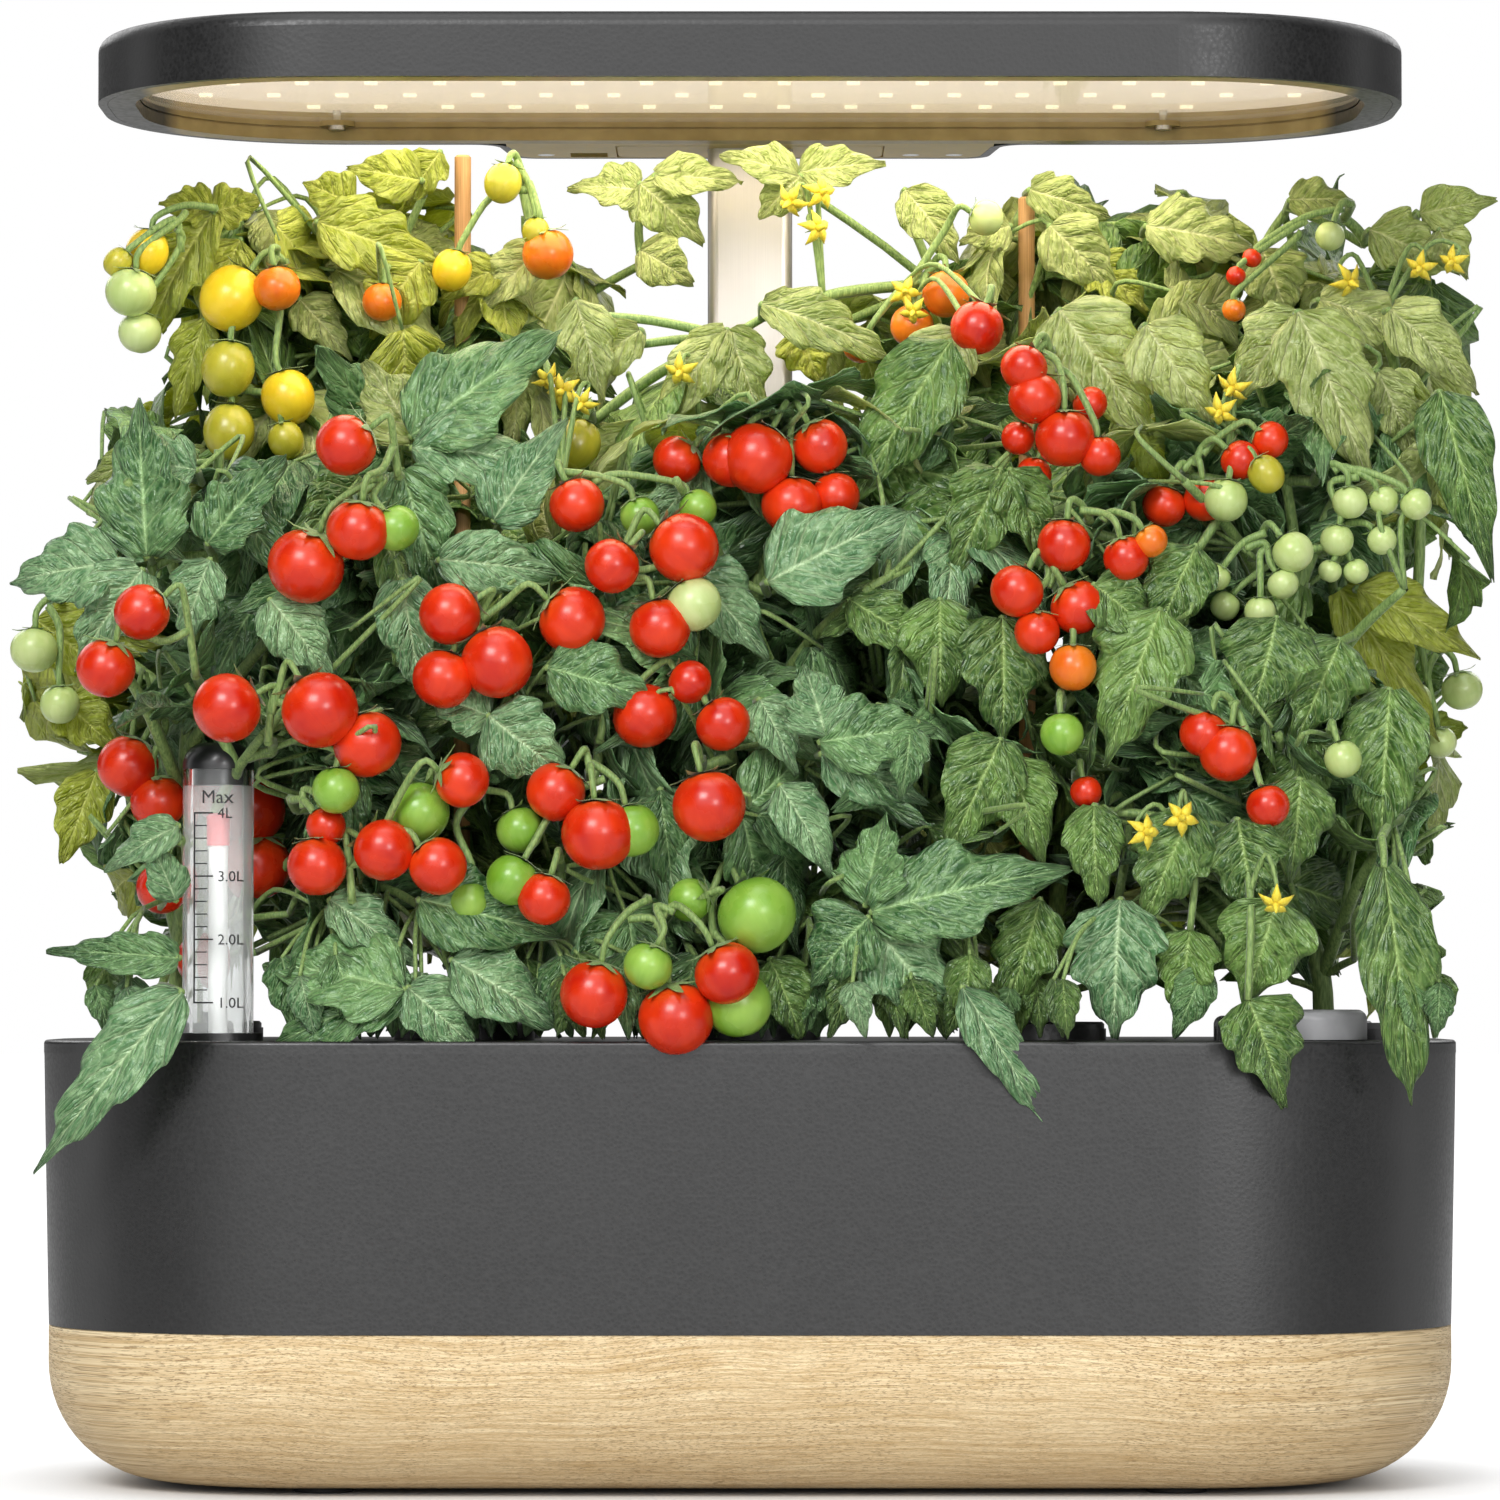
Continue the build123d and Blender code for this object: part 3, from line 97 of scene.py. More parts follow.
class Graph:
    """The node tree of a material or of the world, with short calls for the nodes that are used."""

    def __init__(self, name, world=False):
        self.owner = bpy.data.worlds.new(name) if world else bpy.data.materials.new(name)
        self.owner.use_nodes = True
        self.tree = self.owner.node_tree
        self.tree.nodes.clear()
        self.output = self.tree.nodes.new("ShaderNodeOutputWorld" if world else "ShaderNodeOutputMaterial")
        if not world:
            self.shader = self.tree.nodes.new("ShaderNodeBsdfPrincipled")
            self.surface(self.shader.outputs[0])

    def surface(self, socket):
        self.tree.links.new(socket, self.output.inputs["Surface"])

    def put(self, socket, value):
        """Link a socket to an output, or set it to a constant."""
        if isinstance(value, bpy.types.NodeSocket):
            self.tree.links.new(value, socket)
        elif socket.type == "RGBA" and len(value) == 3:
            socket.default_value = (*value, 1.0)
        else:
            socket.default_value = value

    def set(self, **inputs):
        """Set inputs of the main shader; Base_Color stands for the input named Base Color."""
        for name, value in inputs.items():
            self.put(self.shader.inputs[name.replace("_", " ")], value)

    def node(self, kind, outlet=0, **inputs):
        """An outlet of a new node, whose settings and inputs are given by name."""
        made = self.tree.nodes.new(kind)
        for name, value in inputs.items():
            if hasattr(made, name) and name not in made.inputs:
                setattr(made, name, value)
            else:
                self.put(made.inputs[name.replace("_", " ")], value)
        return made.outputs[outlet]

    def ordered(self, kind, *values, **settings):
        """The outlets of a new node, whose inputs are given in their order."""
        made = self.tree.nodes.new(kind)
        for name, value in settings.items():
            setattr(made, name, value)
        for socket, value in zip(made.inputs, values):
            self.put(socket, value)
        return made.outputs

    def place(self, scale=(1, 1, 1)):
        """Object coordinates in millimetres, stretched by scale."""
        where = self.node("ShaderNodeTexCoord", "Object")
        return self.ordered("ShaderNodeVectorMath", where, [s / MM for s in scale], operation="MULTIPLY")[0]

    def math(self, operation, a, b=0.0, c=0.0):
        return self.ordered("ShaderNodeMath", a, b, c, operation=operation)[0]

    def plus(self, a, b):
        return self.math("ADD", a, b)

    def minus(self, a, b):
        return self.math("SUBTRACT", a, b)

    def times(self, a, b):
        return self.math("MULTIPLY", a, b)

    def split(self, vector):
        return self.ordered("ShaderNodeSeparateXYZ", vector)

    def join(self, x, y, z):
        return self.ordered("ShaderNodeCombineXYZ", x, y, z)[0]

    def noise(self, vector, scale, detail=2.0, roughness=0.5, distortion=0.0):
        grain = {"Scale": scale, "Detail": detail, "Roughness": roughness, "Distortion": distortion}
        return self.node("ShaderNodeTexNoise", Vector=vector, **grain)

    def cells(self, vector, scale, feature="F1"):
        return self.node("ShaderNodeTexVoronoi", "Distance", feature=feature, Vector=vector, Scale=scale)

    def span(self, value, low, high, to_low=0.0, to_high=1.0):
        """The value carried from one range to another, and held inside it."""
        return self.ordered("ShaderNodeMapRange", value, low, high, to_low, to_high)[0]

    def mix(self, share, a, b):
        """A colour this share of the way from one colour to another."""
        made = self.tree.nodes.new("ShaderNodeMix")
        made.data_type = "RGBA"
        for index, value in ((0, share), (6, a), (7, b)):
            self.put(made.inputs[index], value)
        return made.outputs[2]

    def shade(self, value, dark, light, low=NOISE_LOW, high=NOISE_HIGH):
        """Dark where the value is low, light where it is high."""
        return self.mix(self.span(value, low, high), dark, light)

    def gloss(self, value, first, second, low=NOISE_LOW, high=NOISE_HIGH):
        """Set the roughness: the first where the value is low, the second where it is high."""
        self.set(Roughness=self.span(value, low, high, first, second))

    def ray(self, kind):
        """1 for rays of this kind, and 0 for others."""
        return self.node("ShaderNodeLightPath", f"Is {kind} Ray")

    def seen_through(self):
        """1 for what the camera sees, also through clear pieces."""
        return self.math("MAXIMUM", self.ray("Camera"), self.ray("Transmission"))

    def bump(self, height, strength, distance):
        """Relief of this depth in millimetres."""
        self.set(Normal=self.node("ShaderNodeBump", Height=height, Strength=strength, Distance=distance * MM))

    def blend(self, share, first, second):
        """A shader this share of the way from one shader to another."""
        return self.ordered("ShaderNodeMixShader", share, first, second)[0]


def moulded(name, dark, light, roughness, grain=1.1, depth=0.05, specular=0.3):
    """Moulded plastic with a fine leather-like texture: small pebbles, slightly uneven colour and gloss."""
    g = Graph(name)
    where = g.place()
    pebbles = g.cells(where, 1 / grain)
    fine = g.noise(where, 3 / grain, 3.0)
    height = g.math("MULTIPLY_ADD", fine, 0.45, pebbles)
    tone = g.math("MULTIPLY_ADD", height, 0.45, g.times(g.noise(where, 0.06), 0.55))
    g.set(Base_Color=g.shade(tone, dark, light, 0.25, 0.85), Specular_IOR_Level=specular)
    g.gloss(height, roughness - 0.06, roughness + 0.08, 0.2, 1.1)
    g.bump(height, 0.5, depth)
    return g.owner


def smooth_plastic(name, dark, light, roughness, coat=0.0):
    """Smooth moulded plastic with faint flow marks and a trace of fine scratches."""
    g = Graph(name)
    flow = g.noise(g.place(), 0.12, 3.0)
    scratch = g.noise(g.place((1, 0.08, 1)), 4.0)
    g.set(Base_Color=g.shade(flow, dark, light), Specular_IOR_Level=0.5, Coat_Weight=coat)
    g.gloss(scratch, roughness - 0.04, roughness + 0.05)
    g.bump(g.plus(flow, g.times(scratch, 0.2)), 0.15, 0.05)
    return g.owner


def oak_look():
    """Light oak with the grain running round the shell, with pores, growth rings and a few cathedral
    arches."""
    g = Graph("oak_look")
    x, y, z = g.split(g.place())
    # way along the side: X on the long sides, blended to Y round the ends
    along = g.minus(x, g.times(y, g.times(x, 0.006)))
    inward = g.times(g.math("POWER", g.span(z, 33.5, 1.5), 2.0), 22.0)
    down = g.minus(z, inward)
    warp = g.times(g.minus(g.noise(g.join(along, down, 0.0), 0.008, 1.0), 0.5), 15.0)
    swirl = g.times(g.minus(g.noise(g.join(along, down, 7.0), 0.03, 1.0), 0.5), 1.6)
    level = g.plus(g.plus(down, warp), swirl)
    rings = g.math("PINGPONG", g.times(level, 0.27), 0.5)
    bands = g.noise(g.join(g.times(along, 0.012), g.times(level, 0.55), 3.0), 1.0, 4.0, 0.65)
    streaks = g.noise(g.join(g.times(along, 0.07), g.times(level, 2.8), 9.0), 1.0, 3.0, 0.7)
    pore_place = g.join(g.times(along, 0.42), g.times(level, 3.0), g.times(y, 0.02))
    pores = g.span(g.noise(pore_place, 1.0, 2.0, 0.7), 0.36, 0.47)
    density = g.span(g.noise(g.join(along, down, 21.0), 0.025), 0.35, 0.62)
    pores = g.math("MAXIMUM", pores, g.times(density, 0.62))
    tone = g.plus(g.times(bands, 0.5), g.times(streaks, 0.6))
    wood = g.shade(tone, (0.60, 0.41, 0.190), (0.96, 0.80, 0.52), 0.44, 0.67)
    wood = g.mix(g.span(rings, 0.38, 0.5, 0.0, 0.2), wood, (0.50, 0.33, 0.15))
    wood = g.mix(pores, (0.33, 0.21, 0.10), wood)
    # painted shade: the wood is up to a quarter darker towards the bottom, where the shell turns under
    lower = g.span(z, 2.0, 26.0, 0.25, 0.0)
    g.set(Base_Color=g.mix(lower, wood, (0.52, 0.37, 0.19)), Specular_IOR_Level=0.3)
    g.gloss(pores, 0.72, 0.5, 0.0, 1.0)
    g.bump(g.plus(pores, g.times(streaks, 0.6)), 0.35, 0.12)
    return g.owner


def satin_metal(name, colour, roughness, stretch=(6.0, 6.0, 0.04), metallic=0.75):
    """Anodised or brushed metal with fine lines along its length."""
    g = Graph(name)
    lines = g.noise(g.place(stretch), 1.0, 3.0)
    clouded = g.plus(lines, g.times(g.noise(g.place(), 0.03), 0.5))
    dim = tuple(0.86 * c for c in colour)
    g.set(Base_Color=g.shade(clouded, dim, colour, 0.45, 1.05), Metallic=metallic)
    g.gloss(lines, roughness - 0.05, roughness + 0.07)
    g.bump(lines, 0.12, 0.03)
    return g.owner


def rubber():
    g = Graph("foot_rubber")
    g.set(Base_Color=g.mix(g.noise(g.place(), 0.5, 3.0), (0.012, 0.012, 0.012), (0.035, 0.035, 0.036)))
    g.gloss(g.noise(g.place(), 2.0), 0.7, 0.85)
    g.bump(g.noise(g.place(), 3.0), 0.3, 0.05)
    return g.owner


def streaked(name, dark, light, first, second, stretch, scale=1.0, **inputs):
    """A finish of two colours and two roughnesses by one noise, streaked along where it is stretched.
    Returns its graph and the noise."""
    g = Graph(name)
    streaks = g.noise(g.place(stretch), scale, 3.0)
    g.set(Base_Color=g.shade(streaks, dark, light), **inputs)
    g.gloss(streaks, first, second)
    return g, streaks


def foam(name, dark, light, pore):
    """Open foam or peat: crumbly, with pits of this size."""
    g = Graph(name)
    pits = g.cells(g.place(), 1 / pore)
    crumbs = g.noise(g.place(), 0.9 / pore, 4.0, 0.7)
    height = g.plus(pits, crumbs)
    g.set(Base_Color=g.shade(height, dark, light, 0.5, 1.3), Specular_IOR_Level=0.1)
    g.gloss(crumbs, 0.85, 0.98)
    g.bump(height, 0.8, 0.4 * pore)
    return g.owner


def stake_wood():
    g = Graph("stake_wood")
    fibres = g.noise(g.place((4.0, 4.0, 0.06)), 1.0, 4.0, 0.6)
    patches = g.span(g.noise(g.place(), 0.06), NOISE_LOW, NOISE_HIGH, 0.0, 0.3)
    colour = g.shade(fibres, (0.36, 0.17, 0.06), (0.66, 0.38, 0.17))
    g.set(Base_Color=g.mix(patches, colour, (0.5, 0.3, 0.12)))
    g.gloss(fibres, 0.55, 0.75)
    g.bump(fibres, 0.4, 0.12)
    return g.owner


GAUGE_PLUG_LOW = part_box("gauge_cap")[0].z / MM


def clear_tube():
    """Clear acrylic tube, hazy below its cap's plug; light passes it to what stands inside."""
    g = Graph("clear_tube")
    g.set(Base_Color=(0.97, 0.985, 0.98), Transmission_Weight=1.0, IOR=1.32)
    g.gloss(g.noise(g.place((1, 1, 0.1)), 0.8), 0.0, 0.03)
    haze = g.node("ShaderNodeBsdfDiffuse", Color=(0.93, 0.94, 0.93, 1.0))
    _, _, z = g.split(g.place())
    hazy = g.blend(g.span(z, GAUGE_PLUG_LOW - 0.3, GAUGE_PLUG_LOW, 0.22, 0.02), g.shader.outputs[0], haze)
    through = g.node("ShaderNodeBsdfTransparent", Color=(0.97, 0.98, 0.98, 1.0))
    g.surface(g.blend(g.ray("Shadow"), hazy, through))
    return g.owner


def lamp_panel_painted_glow():
    """The lamp's clear cover: a glossy sheet through which the diodes show; its warm beige colour is the
    diodes' light painted into it.
    """
    g = Graph("lamp_panel_painted_glow")
    ripple = g.noise(g.place(), 0.05)
    # painted glow: the clear sheet's warm beige colour stands in for the diodes' light
    g.set(Base_Color=g.shade(ripple, (0.87, 0.79, 0.69), (0.91, 0.83, 0.73)))
    g.gloss(ripple, 0.05, 0.09)
    through = g.node("ShaderNodeBsdfTransparent", Color=(1.0, 0.985, 0.95, 1.0))
    g.surface(g.blend(0.40, through, g.shader.outputs[0]))
    return g.owner


def lit_board():
    """White reflective board round the diodes, lit by them."""
    g = Graph("lit_board")
    patches = g.noise(g.place(), 0.02)
    g.set(Base_Color=g.shade(patches, (0.52, 0.47, 0.39), (0.56, 0.51, 0.43)))
    g.gloss(patches, 0.35, 0.45)
    g.set(Emission_Color=(1.0, 0.90, 0.79), Emission_Strength=0.92)
    return g.owner


def diode():
    """Warm diode with a brighter middle."""
    g = Graph("diode")
    speck = g.cells(g.place(), 0.9)
    g.set(Base_Color=g.shade(speck, (1.0, 0.93, 0.7), (0.95, 0.8, 0.45), 0.1, 0.7))
    g.gloss(speck, 0.3, 0.5, 0.0, 1.0)
    g.set(Emission_Color=(1.0, 0.93, 0.80), Emission_Strength=1.7)
    return g.owner


LIT_REACH = 160.0  # the lamp's warm light falls on its rim this far from the middle, in millimetres
LIT_EDGE = 2.0  # and fades over this much to either side of that


def lit_bezel():
    """The lamp's inner rim: charcoal plastic, olive where the warm light falls on it."""
    g = Graph("bezel_plastic")
    where = g.place()
    x, _, _ = g.split(where)
    flow = g.noise(where, 0.12, 3.0)
    pebbles = g.cells(where, 0.6)
    lit = g.shade(flow, (0.34, 0.245, 0.105), (0.46, 0.345, 0.165))
    unlit = g.shade(flow, (0.030, 0.030, 0.030), (0.050, 0.049, 0.048))
    from_middle = g.math("ABSOLUTE", x)
    g.set(Base_Color=g.shade(from_middle, lit, unlit, LIT_REACH - LIT_EDGE, LIT_REACH + LIT_EDGE))
    g.set(Specular_IOR_Level=0.3)
    g.gloss(pebbles, 0.36, 0.46, 0.2, 0.9)
    g.bump(pebbles, 0.4, 0.02)
    return g.owner


def circuit_board():
    g = Graph("circuit_board")
    tracks = g.cells(g.place(), 0.35, "DISTANCE_TO_EDGE")
    g.set(Base_Color=g.shade(tracks, (0.10, 0.30, 0.14), (0.02, 0.15, 0.06), 0.03, 0.06))
    g.gloss(tracks, 0.3, 0.45, 0.0, 0.1)
    g.bump(g.span(tracks, 0.03, 0.06, 1.0, 0.0), 0.3, 0.05)
    return g.owner


def paint(material, *names):
    """Give CAD nodes a finish."""
    for name in names:
        for slot in nodes[name].material_slots:
            slot.material = material


def numbered(stem, count):
    return [f"{stem}_{number}" for number in range(1, count + 1)]


PLANTS = numbered("tomato_plant", 5)
CHARCOAL = (0.009, 0.009, 0.0092), (0.019, 0.019, 0.0193)
LAMP_CHARCOAL = (0.008, 0.008, 0.0081), (0.016, 0.016, 0.0162)


def finish_cad_nodes():
    """Finishes of every CAD node that stays in view."""
    charcoal = moulded("charcoal_plastic", *CHARCOAL, 0.33, specular=0.5)
    paint(charcoal, "water_tank", "planting_deck", *numbered("pod_cap", 5))
    paint(moulded("lamp_charcoal", *LAMP_CHARCOAL, 0.36, specular=0.36), "lamp_housing")
    paint(oak_look(), "base_shell")
    paint(rubber(), "feet", "suction_cups")
    steel = satin_metal("screw_steel", (0.62, 0.61, 0.6), 0.3, (3.0, 3.0, 3.0), 1.0)
    paint(steel, "base_screws", "impeller_shaft", "lamp_screws", "pole_bracket", "inlet_hinge_pin")
    pump = smooth_plastic("pump_plastic", (0.02, 0.02, 0.021), (0.04, 0.04, 0.042), 0.4)
    paint(pump, "pump_body", "pump_outlet", "volute_plate", "intake_cover", "dc_jack")
    paint(smooth_plastic("impeller_plastic", (0.66, 0.66, 0.62), (0.78, 0.78, 0.74), 0.35), "pump_impeller")
    paint(foam("filter_foam", (0.02, 0.02, 0.02), (0.07, 0.07, 0.07), 0.9), "filter_sponge")
    baskets = smooth_plastic("basket_plastic", (0.035, 0.035, 0.037), (0.06, 0.06, 0.062), 0.45)
    paint(baskets, *numbered("grow_basket", 5))
    paint(foam("peat_sponge", (0.07, 0.035, 0.018), (0.2, 0.11, 0.055), 1.3), *numbered("grow_sponge", 5))
    paint(stake_wood(), "left_stake", "right_stake")
    paint(clear_tube(), "gauge_tube")
    black = smooth_plastic("gloss_black", (0.008, 0.008, 0.009), (0.016, 0.016, 0.017), 0.34, coat=0.1)
    paint(black, "gauge_cap", "gauge_bush")
    white = smooth_plastic("float_white", (0.80, 0.80, 0.79), (0.88, 0.88, 0.87), 0.35)
    paint(white, "gauge_float", "float_stem")
    paint(smooth_plastic("float_red", (0.62, 0.045, 0.06), (0.72, 0.07, 0.085), 0.3), "float_tip")
    paint(smooth_plastic("inlet_grey", (0.25, 0.25, 0.258), (0.31, 0.31, 0.318), 0.38), "inlet_cap")
    paint(satin_metal("pole_metal", (0.66, 0.62, 0.60), 0.38), "pole_outer", "pole_inner")
    paint(moulded("collar_plastic", *CHARCOAL, 0.42, specular=0.5), "pole_collar")
    paint(lit_bezel(), "lamp_bezel")
    # painted light: the lamp's rear cover and the pole's cover plate are olive all over, the lamp's warm
    # light painted into their colour
    under = moulded("cover_painted_warm_light", (0.52, 0.375, 0.16), (0.66, 0.49, 0.24), 0.45, 1.6, 0.02)
    paint(under, "lamp_rear_cover", "pole_cover_plate")
    paint(lamp_panel_painted_glow(), "lens_panel")
    paint(lit_board(), "led_board")
    paint(diode(), "leds")
    paint(circuit_board(), "control_board")
    button = smooth_plastic("button_plastic", (0.14, 0.14, 0.142), (0.19, 0.19, 0.192), 0.32)
    paint(button, *numbered("button", 3))


# ---------------------------------------------------------------- meshes


def link(name, data):
    """A new object of the scene."""
    made = bpy.data.objects.new(name, data)
    bpy.context.scene.collection.objects.link(made)
    return made


def ring(side, other, count, spin=0.0):
    """Directions round a ring, evenly spread."""
    turns = [2 * math.pi * k / count + spin for k in range(count)]
    return [math.cos(turn) * side + math.sin(turn) * other for turn in turns]


class Mesher:
    """Collects the vertices and faces of one piece, with a finish for each face and a leaf map."""

    def __init__(self):
        self.points = []
        self.faces = []
        self.finishes = []
        self.map = []

    def add(self, points, faces, finish=0, spots=None):
        first = len(self.points)
        self.points.extend(points)
        self.faces.extend([tuple(first + i for i in face) for face in faces])
        self.finishes.extend([finish] * len(faces))
        self.map.extend(spots if spots is not None else [(0.5, 0.5)] * len(points))

    def grid(self, points, rows, columns, finish=0, spots=None, closed=False):
        """A sheet of rows by columns of points. A closed one joins its last column to its first, and its
        ends are closed too."""
        faces = []
        for row in range(rows - 1):
            for column in range(columns if closed else columns - 1):
                following = (column + 1) % columns
                here, after = row * columns, (row + 1) * columns
                faces.append((here + column, here + following, after + following, after + column))
        if closed:
            faces.append(tuple(reversed(range(columns))))
            faces.append(tuple(range((rows - 1) * columns, rows * columns)))
        self.add(points, faces, finish, spots)

    def tube(self, path, radii, sides=6):
        """A round stem along a path, with closed ends."""
        count = len(path)
        points = []
        side = None
        for i, here in enumerate(path):
            way = (path[min(i + 1, count - 1)] - path[max(i - 1, 0)]).normalized()
            if side is None:
                side = way.orthogonal().normalized()
            side = (side - way * side.dot(way)).normalized()
            points.extend([here + radii[i] * out for out in ring(side, way.cross(side), sides)])
        self.grid(points, count, sides, closed=True)

    def piece(self, name, materials, body):
        """The piece as an object that rides on a CAD body."""
        mesh = bpy.data.meshes.new(name)
        mesh.from_pydata([tuple(p) for p in self.points], [], self.faces)
        for material in materials:
            mesh.materials.append(material)
        mesh.polygons.foreach_set("material_index", self.finishes)
        mesh.polygons.foreach_set("use_smooth", [True] * len(self.faces))
        layer = mesh.uv_layers.new(name="leaf_map")
        corners = np.empty(len(mesh.loops), dtype=np.int32)
        mesh.loops.foreach_get("vertex_index", corners)
        spots = np.array(self.map, dtype=np.float32)[corners]
        layer.data.foreach_set("uv", spots.ravel())
        mesh.update()
        made = link(name, mesh)
        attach(made, body)
        return made


def smooth_path(points, steps):
    """A Catmull-Rom curve through the points."""
    path = []
    last = len(points) - 1
    for i in range(last):
        before, a = points[max(i - 1, 0)], points[i]
        b, after = points[i + 1], points[min(i + 2, last)]
        for step in range(steps):
            t = step / steps
            square = (2 * before - 5 * a + 4 * b - after) * t**2
            cube = (3 * a - before - 3 * b + after) * t**3
            path.append(0.5 * (2 * a + (b - before) * t + square + cube))
    path.append(points[last].copy())
    return path


def tapered(path, first, loss):
    """Radii along a path, in metres: from the first, by nearly this loss, both in millimetres."""
    return [(first - loss * i / len(path)) * MM for i in range(len(path))]


# ---------------------------------------------------------------- water gauge

GAUGE_LOW, GAUGE_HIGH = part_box("gauge_tube")
GAUGE_X = (GAUGE_LOW.x + GAUGE_HIGH.x) / 2
GAUGE_Y = (GAUGE_LOW.y + GAUGE_HIGH.y) / 2
GAUGE_RADIUS = (GAUGE_HIGH.x - GAUGE_LOW.x) / 2
SCALE_AXIS_COLUMN = 194
SCALE_MAJOR_COLUMN = 213
SCALE_MINOR_COLUMN = 207
SCALE_TOP_ROW = 812.8
SCALE_STEP_ROWS = 63.27
SCALE_TOP_LITRES = 4
SCALE_STEPS = 3
SCALE_PARTS = 5
SCALE_LINE = 0.42 * MM
SCALE_MINOR_SHARE = 0.7  # how thick a short stroke is beside a long one
LABEL_COLUMN = 217.5
MAX_COLUMN, MAX_ROW = 201, 803
LABEL_HEIGHT = 2.75 * MM
MAX_HEIGHT = 3.5 * MM
CAPITAL_SHARE = 0.7  # height of a capital letter over the size of its font
INK_PROUD = 0.06 * MM
INK_THICK = 0.12 * MM
INK_STEP = 0.6 * MM


def ink():
    g, _ = streaked("scale_ink", (0.006, 0.006, 0.007), (0.016, 0.016, 0.017), 0.45, 0.6, (1, 1, 1), 1.5)
    return g.owner


def on_tube(x, z, proud):
    """A point on the front of the gauge tube, seen at this X and Z."""
    radius = GAUGE_RADIUS + proud
    return Vector((x, GAUGE_Y - math.sqrt(max(radius**2 - (x - GAUGE_X) ** 2, 0.0)), z))


def ink_bar(mesher, x0, x1, z0, z1):
    """A printed bar that follows the tube's curve, as a thin closed solid."""
    steps = max(2, int((x1 - x0) / INK_STEP) + 1)
    points = []
    for i in range(steps + 1):
        x = x0 + (x1 - x0) * i / steps
        for z, proud in ((z0, INK_PROUD), (z1, INK_PROUD), (z1, INK_THICK), (z0, INK_THICK)):
            points.append(on_tube(x, z, proud))
    mesher.grid(points, steps + 1, 4, closed=True)


def ink_text(mesher, words, x, z, height):
    """Printed letters that follow the tube's curve; x and z are the lower left corner."""
    curve = bpy.data.curves.new("letters", "FONT")
    curve.body = words
    curve.size = height / CAPITAL_SHARE
    curve.resolution_u = 3
    curve.extrude = INK_THICK / 2
    letters = link("letters", curve)
    bpy.context.view_layer.update()
    flat = bpy.data.meshes.new_from_object(letters.evaluated_get(bpy.context.evaluated_depsgraph_get()))
    points = [on_tube(x + v.co.x, z + v.co.y, INK_PROUD + INK_THICK / 2 + v.co.z) for v in flat.vertices]
    mesher.add(points, [tuple(face.vertices) for face in flat.polygons])
    bpy.data.objects.remove(letters)


def make_scale():
    """Litre scale on the front of the gauge tube."""
    mesher = Mesher()
    depth = (GAUGE_Y - GAUGE_RADIUS) / MM
    axis_x = at_pixel(SCALE_AXIS_COLUMN, SCALE_TOP_ROW, depth).x
    half = SCALE_LINE / 2
    for step in range(SCALE_STEPS * SCALE_PARTS + 1):
        row = SCALE_TOP_ROW + step * SCALE_STEP_ROWS / SCALE_PARTS
        major = step % SCALE_PARTS == 0
        end = at_pixel(SCALE_MAJOR_COLUMN if major else SCALE_MINOR_COLUMN, row, depth)
        thick = half if major else SCALE_MINOR_SHARE * half
        ink_bar(mesher, axis_x, end.x, end.z - thick, end.z + thick)
        if major:
            litres = SCALE_TOP_LITRES - step // SCALE_PARTS
            words = f"{litres}.0L" if step else f"{litres}L"
            corner = at_pixel(LABEL_COLUMN, row, depth)
            ink_text(mesher, words, corner.x, corner.z - LABEL_HEIGHT / 2, LABEL_HEIGHT)
    top = at_pixel(SCALE_AXIS_COLUMN, SCALE_TOP_ROW, depth).z
    bottom = at_pixel(SCALE_AXIS_COLUMN, SCALE_TOP_ROW + SCALE_STEPS * SCALE_STEP_ROWS, depth).z
    ink_bar(mesher, axis_x - half, axis_x + half, bottom - half, top + half)
    corner = at_pixel(MAX_COLUMN, MAX_ROW, depth)
    ink_text(mesher, "Max", corner.x, corner.z, MAX_HEIGHT)
    made = mesher.piece("gauge_scale", [ink()], "deck")


# ---------------------------------------------------------------- foliage finishes

# of each leaf: its darkest and lightest colour, its veins, the light through it, and the share of that light
LEAVES = {
    "deep": ((0.030, 0.115, 0.026), (0.275, 0.525, 0.180), (0.45, 0.70, 0.30), (0.24, 0.50, 0.06), 0.12),
    "mid": ((0.034, 0.105, 0.014), (0.270, 0.490, 0.092), (0.46, 0.66, 0.21), (0.32, 0.52, 0.05), 0.16),
    # pale and lime: leaf colours with the lamp's warm light painted in
    "pale": ((0.270, 0.360, 0.085), (0.840, 0.920, 0.370), (0.92, 0.95, 0.52), (0.68, 0.78, 0.18), 0.32),
    "lime": ((0.280, 0.350, 0.022), (0.780, 0.850, 0.130), (0.88, 0.92, 0.30), (0.72, 0.78, 0.07), 0.34),
    "bright": ((0.085, 0.225, 0.080), (0.450, 0.730, 0.340), (0.62, 0.84, 0.46), (0.28, 0.52, 0.10), 0.12),
}
# of each fruit: its darkest and lightest colour, and its shoulder
FRUITS = {
    "red": ((0.52, 0.010, 0.002), (0.80, 0.048, 0.005), (0.80, 0.11, 0.008)),
    "orange": ((0.74, 0.12, 0.008), (0.90, 0.26, 0.015), (0.75, 0.36, 0.03)),
    "yellow": ((0.72, 0.46, 0.012), (0.90, 0.66, 0.03), (0.45, 0.46, 0.05)),
    "olive": ((0.34, 0.32, 0.02), (0.58, 0.52, 0.05), (0.26, 0.32, 0.05)),
    "green": ((0.15, 0.35, 0.022), (0.34, 0.56, 0.09), (0.11, 0.28, 0.015)),
    "pale": ((0.44, 0.58, 0.17), (0.64, 0.74, 0.34), (0.34, 0.50, 0.12)),
}
LEAF_TONES = list(LEAVES)
RIPENESS = list(FRUITS)
VEIN_PAIRS = 5.2  # side veins to each side of a leaf's midrib
VEIN_SLANT = 0.3  # how far they lean forwards, as a share of the leaf's length


